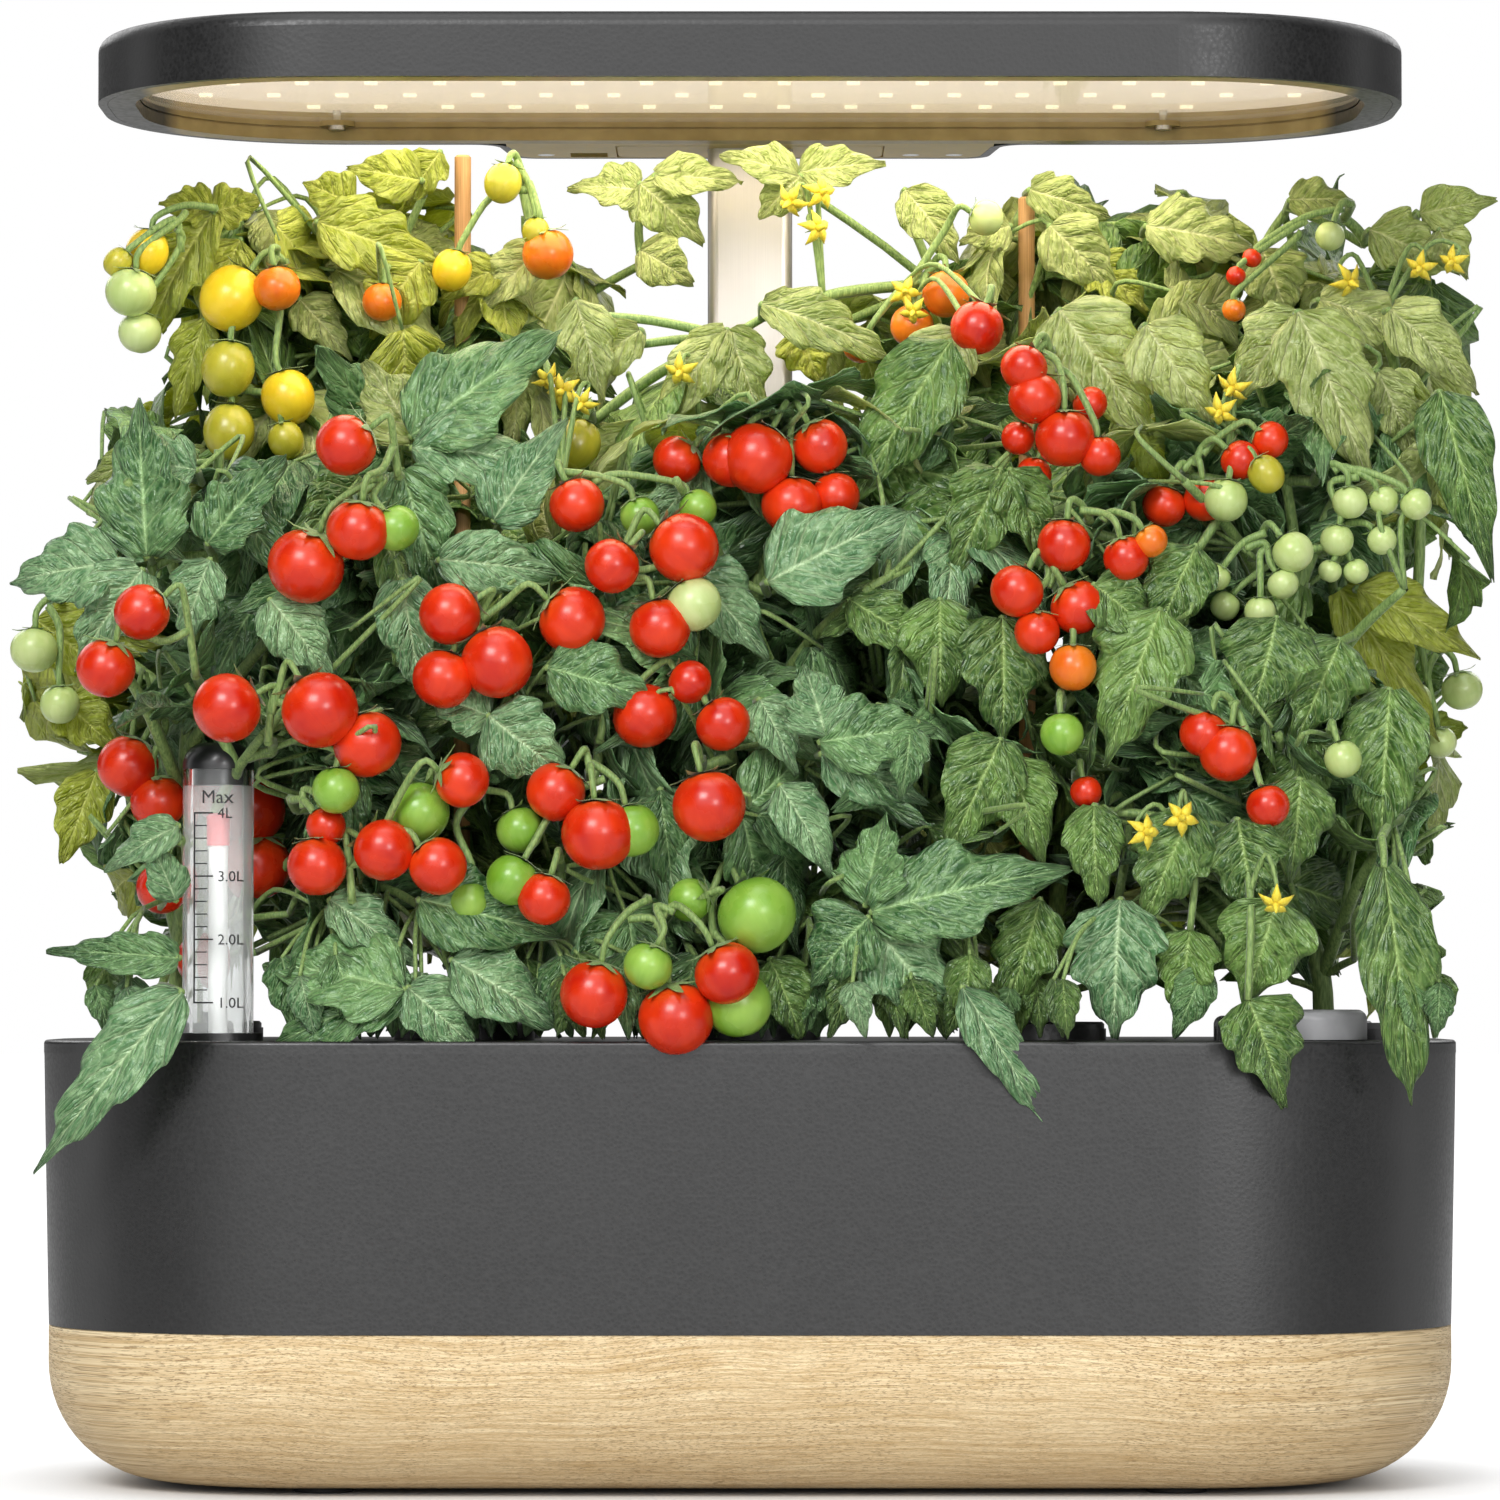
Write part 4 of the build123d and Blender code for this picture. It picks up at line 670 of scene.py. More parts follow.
def leaf_finish(tone):
    """A tomato leaf: pale midrib and side veins from the leaf map, a blade that puffs between them, and light
    through it."""
    dark, light, vein, glow, glow_share = LEAVES[tone]
    g = Graph(f"leaf_{tone}")
    total, across_map, _ = g.split(g.node("ShaderNodeUVMap", uv_map="leaf_map"))
    along = g.math("FRACT", total)
    number = g.math("FLOOR", total)
    across = g.math("ABSOLUTE", g.math("MULTIPLY_ADD", across_map, 2.0, -1.0))
    wobble = g.times(g.minus(g.noise(g.place(), 0.18), 0.5), 0.06)
    run = g.plus(g.math("MULTIPLY_ADD", across, -VEIN_SLANT, along), wobble)
    side = g.math("PINGPONG", g.times(run, VEIN_PAIRS), 0.5)
    wide = g.span(across, 0.0, 1.0, 0.075, 0.03)
    side_vein = g.minus(1.0, g.math("MINIMUM", g.math("DIVIDE", side, wide), 1.0))
    veins = g.math("MAXIMUM", side_vein, g.span(across, 0.01, 0.07, 1.0, 0.0))
    net_place = g.join(g.times(run, 19.0), g.times(across_map, 8.0), number)
    cells = g.cells(net_place, 1.0, "DISTANCE_TO_EDGE")
    net = g.span(cells, 0.02, 0.2, 1.0, 0.0)
    puff = g.times(g.math("POWER", g.times(side, 2.0), 0.6), g.span(across, 0.0, 0.18))
    crinkle = g.noise(g.place(), 0.32, 3.0, 0.65, 0.8)
    patches = g.noise(g.place(), 0.08, 2.0, 0.6)
    chance = g.node("ShaderNodeTexWhiteNoise", "Value", noise_dimensions="1D", W=number)
    # painted shade and highlight: the crinkle's low parts are painted darker and its ridges lighter, from the
    # same noise as its relief, over the leaf's own patchy tone
    tone_and_crease_shade = g.plus(g.times(patches, 0.45), g.times(crinkle, 0.5))
    tone_and_crease_shade = g.plus(tone_and_crease_shade, g.times(chance, 0.2))
    tone_and_crease_shade = g.math("MULTIPLY_ADD", puff, -0.06, tone_and_crease_shade)
    colour = g.shade(tone_and_crease_shade, dark, light, 0.44, 0.88)
    colour = g.mix(g.times(net, 0.26), colour, vein)
    colour = g.mix(g.times(veins, 0.8), colour, vein)
    g.set(Base_Color=colour, Specular_IOR_Level=0.62, Sheen_Weight=0.05, Sheen_Roughness=0.5)
    g.gloss(crinkle, 0.30, 0.42)
    relief = g.math("MULTIPLY_ADD", g.math("MINIMUM", cells, 0.3), 0.9, g.times(puff, 0.8))
    relief = g.math("MULTIPLY_ADD", crinkle, 0.6, relief)
    g.bump(g.minus(relief, g.times(veins, 0.15)), 1.0, 1.3)
    through = g.node("ShaderNodeBsdfTranslucent", Color=(*glow, 1.0))
    g.surface(g.blend(glow_share, g.shader.outputs[0], through))
    return g.owner


def stem_finish():
    """Hairy green stem: streaked along, softly lit at its edges."""
    sheen = {"Sheen_Weight": 0.25, "Sheen_Roughness": 0.4}
    dark, light = (0.10, 0.19, 0.04), (0.31, 0.44, 0.14)
    g, _ = streaked("stem_green", dark, light, 0.5, 0.65, (2.0, 2.0, 0.35), **sheen)
    g.bump(g.noise(g.place(), 2.5, 3.0), 0.5, 0.12)
    return g.owner


def fruit_finish(ripeness):
    """Tomato skin: glossy and even, with soft streaks, faint specks and a paler or greener shoulder."""
    dark, light, shoulder = FRUITS[ripeness]
    g = Graph(f"fruit_{ripeness}")
    around, down, _ = g.split(g.node("ShaderNodeUVMap", uv_map="leaf_map"))
    clouds = g.noise(g.place(), 0.09, 3.0)
    streaks = g.noise(g.join(g.times(around, 16.0), down, 0.0), 1.0)
    colour = g.shade(g.math("MULTIPLY_ADD", streaks, 0.4, clouds), dark, light, 0.45, 0.95)
    upper = g.span(g.math("MULTIPLY_ADD", streaks, 0.12, down), 0.06, 0.42, 0.75, 0.0)
    colour = g.mix(upper, colour, shoulder)
    colour = g.mix(g.span(g.cells(g.place(), 1.1), 0.04, 0.1, 0.22, 0.0), colour, light)
    g.set(Base_Color=colour, Specular_IOR_Level=0.42, Subsurface_Weight=0.06)
    g.set(Subsurface_Radius=(1.0, 0.25, 0.1), Subsurface_Scale=1.2 * MM)
    g.gloss(clouds, 0.24, 0.31)
    g.bump(g.noise(g.place(), 0.5), 0.04, 0.2)
    return g.owner


def petal_finish():
    colours = (0.78, 0.56, 0.02), (0.93, 0.80, 0.07)
    g, veins = streaked("petal_yellow", *colours, 0.45, 0.6, (1.5, 1.5, 0.5), Sheen_Weight=0.1)
    g.bump(veins, 0.4, 0.1)
    return g.owner


# ---------------------------------------------------------------- leaves, stems and fruit

LEAF_THICK = 0.3 * MM
PETAL_THICK = 0.2 * MM
FINE = (27, 11)  # rows and columns of a leaf in clear view
PLAIN = (15, 5)
BACKWARD = Vector((0, 13 * MM, 0))  # a compound leaf moves back this far from in front of a fruit
POLE_LOW, POLE_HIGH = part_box("pole_collar")
LAMP_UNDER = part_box("lamp_housing")[0].z
DECK_TOP = 119.5 * MM
COLLAR_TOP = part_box("planting_deck")[1].z
CAP_LOW, CAP_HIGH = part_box("inlet_cap")
POD_CAPS = [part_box(name) for name in numbered("pod_cap", 5)]
CELLS = [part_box(name) for name in PLANTS]
# what leaves keep clear of, in metres
GAUGE_SIDE, GAUGE_BACK, GAUGE_OVER = 13 * MM, 14 * MM, 9 * MM  # from the gauge's axis and its top
SWEEP_SIDE, SWEEP_DEPTH, SWEEP_OVER = 38 * MM, 21 * MM, 37 * MM  # the inlet cap turns up within this
POD_CAP_SIDE, POD_CAP_LIFT = 2 * MM, 15 * MM
POLE_SIDE, POLE_FRONT, LAMP_GAP = 2 * MM, 4 * MM, 2 * MM
DECK_GAP, COLLAR_GAP = 0.3 * MM, 4 * MM  # over the deck's front and back edges, and over its collars
FRONT_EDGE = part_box("grow_basket_1")[0].y - 3 * MM
REAR_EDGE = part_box("grow_basket_4")[1].y + 3 * MM
DECK_X, DECK_Y = 201 * MM, 105 * MM  # beyond these, leaves may hang down past the deck
REACH_X, REACH_Y = 207 * MM, 109 * MM  # no leaf reaches further
STALK_X, STALK_Y, STALK_GAP = 205 * MM, 107 * MM, 3 * MM  # no stalk reaches further, or nearer to the lamp
REAR_PLANTS = 3  # plants with a higher number stand behind
ROW_SPLIT = 3 * MM  # Y between the front and the rear plants
MIDDLE_HALF = 77 * MM  # half the width of the middle plant in front


def sponge_top(name):
    """The middle of a sponge's top."""
    low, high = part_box(name)
    return Vector(((low.x + high.x) / 2, (low.y + high.y) / 2, high.z))


STEM_ROOTS = [sponge_top(name) for name in numbered("grow_sponge", 5)]


class Plant:
    """One tomato plant: its stems, leaves, fruit and flowers, each joined into a piece of its own."""

    def __init__(self, number):
        self.number = number
        self.leaves = Mesher()
        self.stems = Mesher()
        self.fruit = Mesher()
        self.flowers = Mesher()
        self.joints = []  # points on the stem and branches from which stalks start
        self.leaf_count = 0


def blocked(points):
    """True if a leaf would stand in the gauge, the way of the inlet cap or the pod caps, the pole, the lamp
    or the deck, or reach too far out."""
    x, y, z = points[:, 0], points[:, 1], points[:, 2]
    at_gauge = (np.abs(x - GAUGE_X) < GAUGE_SIDE) & (y < GAUGE_Y + GAUGE_BACK)
    at_gauge &= z < GAUGE_HIGH.z + GAUGE_OVER
    cap_y = (CAP_LOW.y + CAP_HIGH.y) / 2
    at_cap = (np.abs(x - CAP_LOW.x) < SWEEP_SIDE) & (np.abs(y - cap_y) < SWEEP_DEPTH)
    at_cap &= z < CAP_HIGH.z + SWEEP_OVER
    at_pole = (x > POLE_LOW.x - POLE_SIDE) & (x < POLE_HIGH.x + POLE_SIDE) & (y > POLE_LOW.y - POLE_FRONT)
    at_lamp = z > LAMP_UNDER - LAMP_GAP
    floor = np.where((y < FRONT_EDGE) | (y > REAR_EDGE), DECK_TOP + DECK_GAP, COLLAR_TOP + COLLAR_GAP)
    at_deck = (np.abs(x) < DECK_X) & (np.abs(y) < DECK_Y) & (z < floor)
    far = (np.abs(x) > REACH_X) | (np.abs(y) > REACH_Y)
    for low, high in POD_CAPS:
        from_middle = np.hypot(x - (low.x + high.x) / 2, y - (low.y + high.y) / 2)
        far |= (from_middle < (high.x - low.x) / 2 + POD_CAP_SIDE) & (z < high.z + POD_CAP_LIFT)
    return bool((at_gauge | at_cap | at_pole | at_lamp | at_deck | far).any())


def leaflet(plant, base, way, length, width, normal, tone, luck, droop, fold, wave=0.05, mesh=PLAIN):
    """One toothed, puffed leaf blade from its base along a direction, its upper side towards normal.
    A plain one returns False, and is not made, where it would be in the way of something."""
    way = way.normalized()
    normal = (normal - way * normal.dot(way)).normalized()
    side = normal.cross(way).normalized()
    rows, columns = mesh
    u = np.linspace(0.0, 1.0, rows)[:, None]
    v = np.linspace(-1.0, 1.0, columns)[None, :]
    lean = luck.uniform(0.56, 0.74)
    outline = np.sin(np.pi * np.clip(u, 0.012, 0.985) ** lean) ** 0.8 * (1.1 - 0.5 * u)
    teeth = luck.choice((3.0, 3.5, 4.0))
    saw = 0.5 - 0.5 * np.cos(2 * np.pi * (u * teeth + luck.random()))
    notch = 1.0 - luck.uniform(0.03, 0.20) * saw**1.5 * (u > 0.06) * (u < 0.95)
    edge = np.abs(v) ** 2
    half = 0.5 * width * outline * (1 - edge + edge * notch)
    bend = droop * u
    veins = np.abs(np.sin(np.pi * VEIN_PAIRS * (u - VEIN_SLANT * np.abs(v))))
    puff = 0.075 * width * (veins - 0.5) * (1 - np.abs(v) ** 3)
    puff = puff * np.minimum(1.0, 5 * np.abs(v)) * np.sin(np.pi * u)
    phase = luck.uniform(0, 6.28)
    ripple = wave * width * edge * np.sin(2 * np.pi * 2.3 * u + phase + 1.3 * np.sign(v))
    lift = fold * np.abs(v) * half - 0.35 * fold * edge * width * 0.5 + ripple
    if mesh == FINE:
        lift = lift + puff
    twist = luck.uniform(-0.4, 0.4) * u
    local_x = length * (u * (1 - bend**2 / 6)) + 0.05 * length * edge * (0.5 - saw)
    local_y = v * half * np.cos(twist)
    local_z = -length * (bend * u / 2) + lift + v * half * np.sin(twist)
    points = (
        np.array(base)
        + local_x[..., None] * np.array(way)
        + local_y[..., None] * np.array(side)
        + local_z[..., None] * np.array(normal)
    ).reshape(-1, 3)
    if mesh == PLAIN and (blocked(points[::2]) or hides(points) or sticks_out(points[::2])):
        return False
    number = plant.leaf_count % 64
    plant.leaf_count += 1
    spots = [(number + 0.02 + 0.96 * float(a), 0.5 + 0.5 * float(b)) for a in u[:, 0] for b in v[0]]
    plant.leaves.grid([tuple(p) for p in points], rows, columns, LEAF_TONES.index(tone), spots)
    return True


def stalk(plant, start, end, thick, sag, luck, taper, steps):
    """A stalk between two points, bowed upwards by this share of its reach. Other stalks may start from its
    first half."""
    reach = (end - start).length
    middle = (start + end) / 2 + UP * reach * sag
    middle += Vector((luck.uniform(-1, 1), luck.uniform(-1, 1), 0)) * reach * 0.06
    path = smooth_path([start, middle, end], steps)
    radii = [thick * (1 - (1 - taper) * i / (len(path) - 1)) for i in range(len(path))]
    plant.stems.tube(path, radii)
    plant.joints.extend(path[1 : len(path) // 2])


# how a stalk goes past the gauge, in metres: where it is near, and where it then turns
NEAR_GAUGE_SIDE, NEAR_GAUGE_OVER, PAST_GAUGE_SIDE, PAST_GAUGE_BACK = 15 * MM, 10 * MM, 17 * MM, 14 * MM
# and over the inlet cap's way: the way's left, its other sides and its top, and where it then turns
NEAR_CAP_LEFT, NEAR_CAP_SIDE, NEAR_CAP_OVER = 14 * MM, 3 * MM, 42 * MM
PAST_CAP_FRONT, PAST_CAP_RISE, PAST_CAP_OVER = 7 * MM, 8 * MM, 44 * MM
TURN_DROP = 2 * MM


def behind(point, back):
    """A point further into the plant, beside the gauge rather than in it, and above the way of the inlet
    cap."""
    x, y, z = point.x, point.y + back, point.z
    if abs(x - GAUGE_X) < NEAR_GAUGE_SIDE and z < GAUGE_HIGH.z + NEAR_GAUGE_OVER:
        x = GAUGE_X + math.copysign(PAST_GAUGE_SIDE, x - GAUGE_X)
        y = max(y, GAUGE_Y + PAST_GAUGE_BACK)
    over_x = CAP_LOW.x - NEAR_CAP_LEFT < x < CAP_HIGH.x + NEAR_CAP_SIDE
    over_y = CAP_LOW.y - NEAR_CAP_SIDE < y < CAP_HIGH.y + NEAR_CAP_SIDE
    if over_x and over_y and z < CAP_HIGH.z + NEAR_CAP_OVER:
        return Vector((x, CAP_LOW.y - PAST_CAP_FRONT, max(z + PAST_CAP_RISE, CAP_HIGH.z + PAST_CAP_OVER)))
    return Vector((x, y, z - TURN_DROP))


def too_far(path):
    """True if a stalk would stand out of the plants' space."""
    return any(abs(p.x) > STALK_X or abs(p.y) > STALK_Y or p.z > LAMP_UNDER - STALK_GAP for p in path)


def nearest_joint(plant, point, below):
    """Where on its plant a stalk to this point starts: near, and this far below it or lower."""
    def cost(joint):
        return (point - joint).length + 1.5 * max(0.0, joint.z + below - point.z)

    return min(plant.joints, key=cost)


def inner_joint(plant, point):
    """Where a stalk in front starts: near, and not further to the front than this point."""
    return min(plant.joints, key=lambda joint: (point - joint).length + 4 * max(0.0, point.y - joint.y))


def spray(plant, inner, tip, way, normal, size, tone, luck, pairs):
    """A compound leaf on a curved stalk from inside the plant: pairs of leaflets and one at its end."""

    def blade(base, out, long, wide, face):
        shape = {"droop": luck.uniform(0.4, 1.0), "fold": luck.uniform(0.1, 0.4)}
        return leaflet(plant, base, out, long, wide, face, tone, luck, **shape)

    for _ in range(4):
        if not hides(np.array([tip + way * size * share for share in (0.0, 0.35, 0.7)])):
            break
        inner, tip = inner + BACKWARD, tip + BACKWARD
    path = smooth_path([inner, tip - way * 0.55 * size - normal * 8 * MM, tip], 5)
    if too_far(path):
        return False
    placed = blade(tip, way, size * luck.uniform(1.0, 1.2), size * luck.uniform(0.6, 0.74), normal)
    across = normal.cross(way).normalized()
    for pair in range(pairs):
        here = tip - way * size * (0.12 + 0.42 * pair) - normal * 1.5 * MM * (pair + 1)
        for hand in (-1, 1):
            turn = luck.uniform(0.7, 1.15)
            out = way * math.cos(turn) + across * hand * math.sin(turn) - normal * luck.uniform(0.0, 0.3)
            face = normal + across * hand * luck.uniform(-0.15, 0.4) + UP * luck.uniform(-0.1, 0.3)
            long = size * luck.uniform(0.78, 1.05)
            wide = long * luck.uniform(0.56, 0.7)
            start = here + out.normalized() * 2 * MM
            placed = blade(start, out, long, wide, face.normalized()) or placed
    if placed:
        plant.stems.tube(path, tapered(path, 0.95, 0.45))
    return placed


# Single leaves in clear view: base, tip and width in pixels, depth of base and tip (mm), finish, droop
CLEAR_LEAVES = (
    # front left plant
    (147, 556, 135, 402, 92, -70, -78, "deep", 0.2), (208, 543, 277, 452, 66, -72, -80, "deep", 0.3),
    (118, 562, 2, 574, 78, -74, -80, "deep", 0.5), (142, 570, 66, 660, 74, -76, -84, "deep", 0.5),
    (210, 560, 176, 640, 60, -76, -80, "deep", 0.4), (196, 470, 118, 455, 60, -66, -70, "deep", 0.3),
    (411, 436, 556, 318, 98, -66, -72, "deep", 0.3), (415, 442, 368, 350, 70, -62, -66, "pale", 0.5),
    (412, 448, 540, 452, 74, -68, -76, "deep", 0.4), (494, 520, 560, 416, 66, -70, -78, "deep", 0.3),
    (440, 560, 556, 566, 62, -76, -82, "deep", 0.4), (402, 470, 446, 612, 70, -74, -80, "deep", 0.4),
    (270, 600, 330, 668, 66, -78, -86, "deep", 0.4), (402, 580, 420, 700, 60, -78, -84, "deep", 0.3),
    (489, 716, 566, 776, 78, -90, -96, "deep", 0.4), (489, 716, 428, 690, 60, -86, -92, "deep", 0.4),
    (548, 668, 654, 694, 74, -90, -96, "deep", 0.3), (179, 958, 42, 946, 44, -92, -96, "deep", 0.3),
    (182, 992, 24, 1168, 74, -95, -99, "deep", 0.2), (176, 900, 150, 840, 40, -86, -88, "deep", 0.3),
    (178, 826, 98, 864, 44, -84, -88, "deep", 0.4), (404, 990, 262, 950, 88, -90, -96, "deep", 0.4),
    (404, 992, 262, 1036, 66, -90, -97, "deep", 0.4), (408, 988, 476, 1046, 62, -90, -95, "deep", 0.4),
    (420, 900, 560, 930, 78, -86, -92, "deep", 0.3), (452, 960, 560, 1020, 80, -86, -92, "deep", 0.4),
    (470, 930, 510, 1036, 60, -80, -84, "deep", 0.3), (330, 900, 420, 960, 56, -84, -90, "deep", 0.4),
    (660, 790, 676, 912, 46, -80, -84, "deep", 0.3), (360, 780, 300, 860, 56, -80, -84, "deep", 0.4),
    # front middle plant
    (768, 582, 906, 504, 92, -74, -84, "deep", 0.3), (690, 570, 770, 650, 70, -70, -78, "deep", 0.4),
    (820, 742, 936, 722, 74, -88, -94, "deep", 0.4), (826, 736, 806, 664, 66, -88, -92, "deep", 0.4),
    (822, 754, 930, 800, 60, -86, -92, "deep", 0.5), (780, 786, 838, 872, 56, -86, -92, "deep", 0.4),
    (760, 700, 800, 770, 50, -84, -88, "deep", 0.3), (872, 912, 1066, 858, 98, -88, -97, "deep", 0.3),
    (868, 918, 806, 980, 80, -88, -92, "deep", 0.4), (872, 922, 956, 1030, 84, -88, -94, "deep", 0.4),
    (866, 905, 880, 812, 74, -86, -90, "deep", 0.4), (962, 988, 1050, 1120, 52, -94, -99, "deep", 0.2),
    (770, 960, 806, 1036, 60, -82, -86, "mid", 0.4), (727, 330, 766, 412, 60, -30, -40, "pale", 0.5),
    (727, 330, 650, 420, 60, -30, -38, "pale", 0.5), (576, 300, 602, 388, 58, -40, -50, "pale", 0.4),
    (762, 304, 896, 338, 62, -28, -38, "pale", 0.5), (950, 342, 850, 496, 86, -60, -72, "mid", 0.4),
    (700, 470, 640, 540, 56, -56, -60, "deep", 0.4), (850, 600, 935, 650, 60, -70, -80, "mid", 0.4),
    (640, 330, 560, 380, 50, -36, -44, "pale", 0.4),
    # front right plant
    (1060, 310, 1150, 425, 100, -50, -62, "mid", 0.4), (1146, 325, 1212, 418, 74, -56, -66, "mid", 0.5),
    (1298, 312, 1376, 470, 92, -58, -72, "mid", 0.4), (1300, 312, 1232, 392, 70, -52, -60, "mid", 0.4),
    (1440, 392, 1496, 566, 66, -60, -74, "mid", 0.3), (1378, 372, 1420, 454, 52, -46, -52, "mid", 0.4),
    (1000, 470, 956, 570, 74, -66, -76, "mid", 0.4), (1010, 470, 1050, 560, 62, -66, -72, "mid", 0.4),
    (958, 330, 905, 420, 70, -52, -60, "mid", 0.4), (1094, 585, 1160, 632, 62, -84, -88, "mid", 0.4),
    (1196, 546, 1152, 640, 66, -80, -88, "mid", 0.4), (1002, 618, 1008, 736, 88, -76, -86, "mid", 0.4),
    (940, 600, 940, 700, 76, -72, -80, "mid", 0.4), (1160, 610, 1104, 758, 92, -84, -92, "mid", 0.3),
    (1276, 618, 1258, 716, 92, -84, -92, "mid", 0.4), (1340, 640, 1300, 740, 80, -80, -88, "mid", 0.4),
    (1390, 690, 1380, 846, 84, -74, -86, "mid", 0.3), (1000, 740, 950, 850, 78, -80, -88, "mid", 0.3),
    (1094, 806, 1096, 904, 58, -84, -90, "mid", 0.3), (1010, 760, 1046, 860, 64, -78, -86, "mid", 0.3),
    (1190, 812, 1146, 918, 78, -90, -96, "mid", 0.4), (1238, 820, 1256, 912, 82, -90, -96, "mid", 0.4),
    (1300, 780, 1296, 880, 70, -86, -92, "mid", 0.4), (1276, 900, 1250, 1004, 90, -90, -96, "mid", 0.4),
    (1248, 1000, 1292, 1104, 88, -94, -99, "mid", 0.3), (1120, 900, 1112, 1036, 96, -82, -88, "deep", 0.2),
    (1384, 868, 1424, 1106, 82, -92, -98, "mid", 0.25), (1190, 930, 1180, 1020, 62, -84, -90, "mid", 0.4),
    (1170, 560, 1090, 540, 46, -60, -64, "mid", 0.4), (1040, 900, 1010, 1010, 70, -78, -84, "mid", 0.3),
    (1358, 588, 1488, 650, 58, -40, -48, "lime", 0.5), (1340, 590, 1452, 740, 60, -30, -36, "lime", 0.4),
    # rear left plant
    (212, 214, 130, 330, 74, 14, 8, "lime", 0.4), (214, 212, 262, 196, 44, 16, 14, "lime", 0.3),
    (215, 208, 160, 200, 44, 16, 12, "lime", 0.3), (205, 320, 168, 412, 46, 16, 10, "lime", 0.4),
    (240, 240, 200, 330, 60, 18, 12, "lime", 0.4), (318, 222, 452, 262, 76, 14, 8, "lime", 0.4),
    (352, 205, 304, 178, 50, 18, 16, "lime", 0.3), (420, 180, 346, 164, 52, 20, 18, "lime", 0.3),
    (420, 262, 366, 330, 70, 16, 10, "lime", 0.4), (300, 300, 350, 352, 48, 20, 14, "pale", 0.4),
    (440, 152, 404, 200, 46, 24, 20, "lime", 0.3), (500, 268, 436, 292, 46, 22, 18, "lime", 0.4),
    (640, 250, 690, 276, 52, 22, 16, "pale", 0.4), (640, 190, 570, 180, 56, 24, 20, "pale", 0.3),
    (640, 184, 702, 232, 66, 24, 16, "pale", 0.4), (655, 176, 742, 176, 52, 24, 20, "pale", 0.2),
    (540, 250, 480, 300, 54, 20, 12, "pale", 0.4), (36, 620, 120, 680, 66, 10, 4, "lime", 0.4),
    (96, 772, 62, 858, 56, 6, -2, "lime", 0.3), (60, 700, 110, 740, 60, 6, 0, "lime", 0.3),
    # rear right plant
    (800, 172, 884, 158, 50, 6, 2, "pale", 0.2), (798, 174, 722, 150, 48, 6, 2, "pale", 0.2),
    (800, 176, 760, 214, 50, 4, 0, "pale", 0.4), (905, 190, 960, 250, 60, 20, 12, "pale", 0.4),
    (1030, 190, 1110, 210, 46, 24, 18, "pale", 0.3), (1146, 226, 1258, 236, 72, 18, 10, "pale", 0.4),
    (1050, 226, 1118, 286, 66, 18, 10, "pale", 0.4), (1010, 226, 962, 238, 46, 20, 16, "pale", 0.3),
    (1090, 262, 1148, 300, 60, 22, 14, "lime", 0.4), (1290, 200, 1350, 196, 44, 22, 16, "pale", 0.3),
    (1262, 250, 1290, 310, 70, 20, 12, "pale", 0.4), (1370, 230, 1460, 262, 62, 14, 6, "mid", 0.4),
    (1420, 214, 1494, 196, 44, 16, 10, "mid", 0.3), (1440, 230, 1466, 272, 44, 14, 8, "mid", 0.4),
    (1320, 300, 1440, 330, 62, 0, -8, "mid", 0.5), (1390, 310, 1486, 380, 62, -4, -14, "mid", 0.5),
    (800, 330, 818, 376, 60, 12, 6, "lime", 0.3),
)

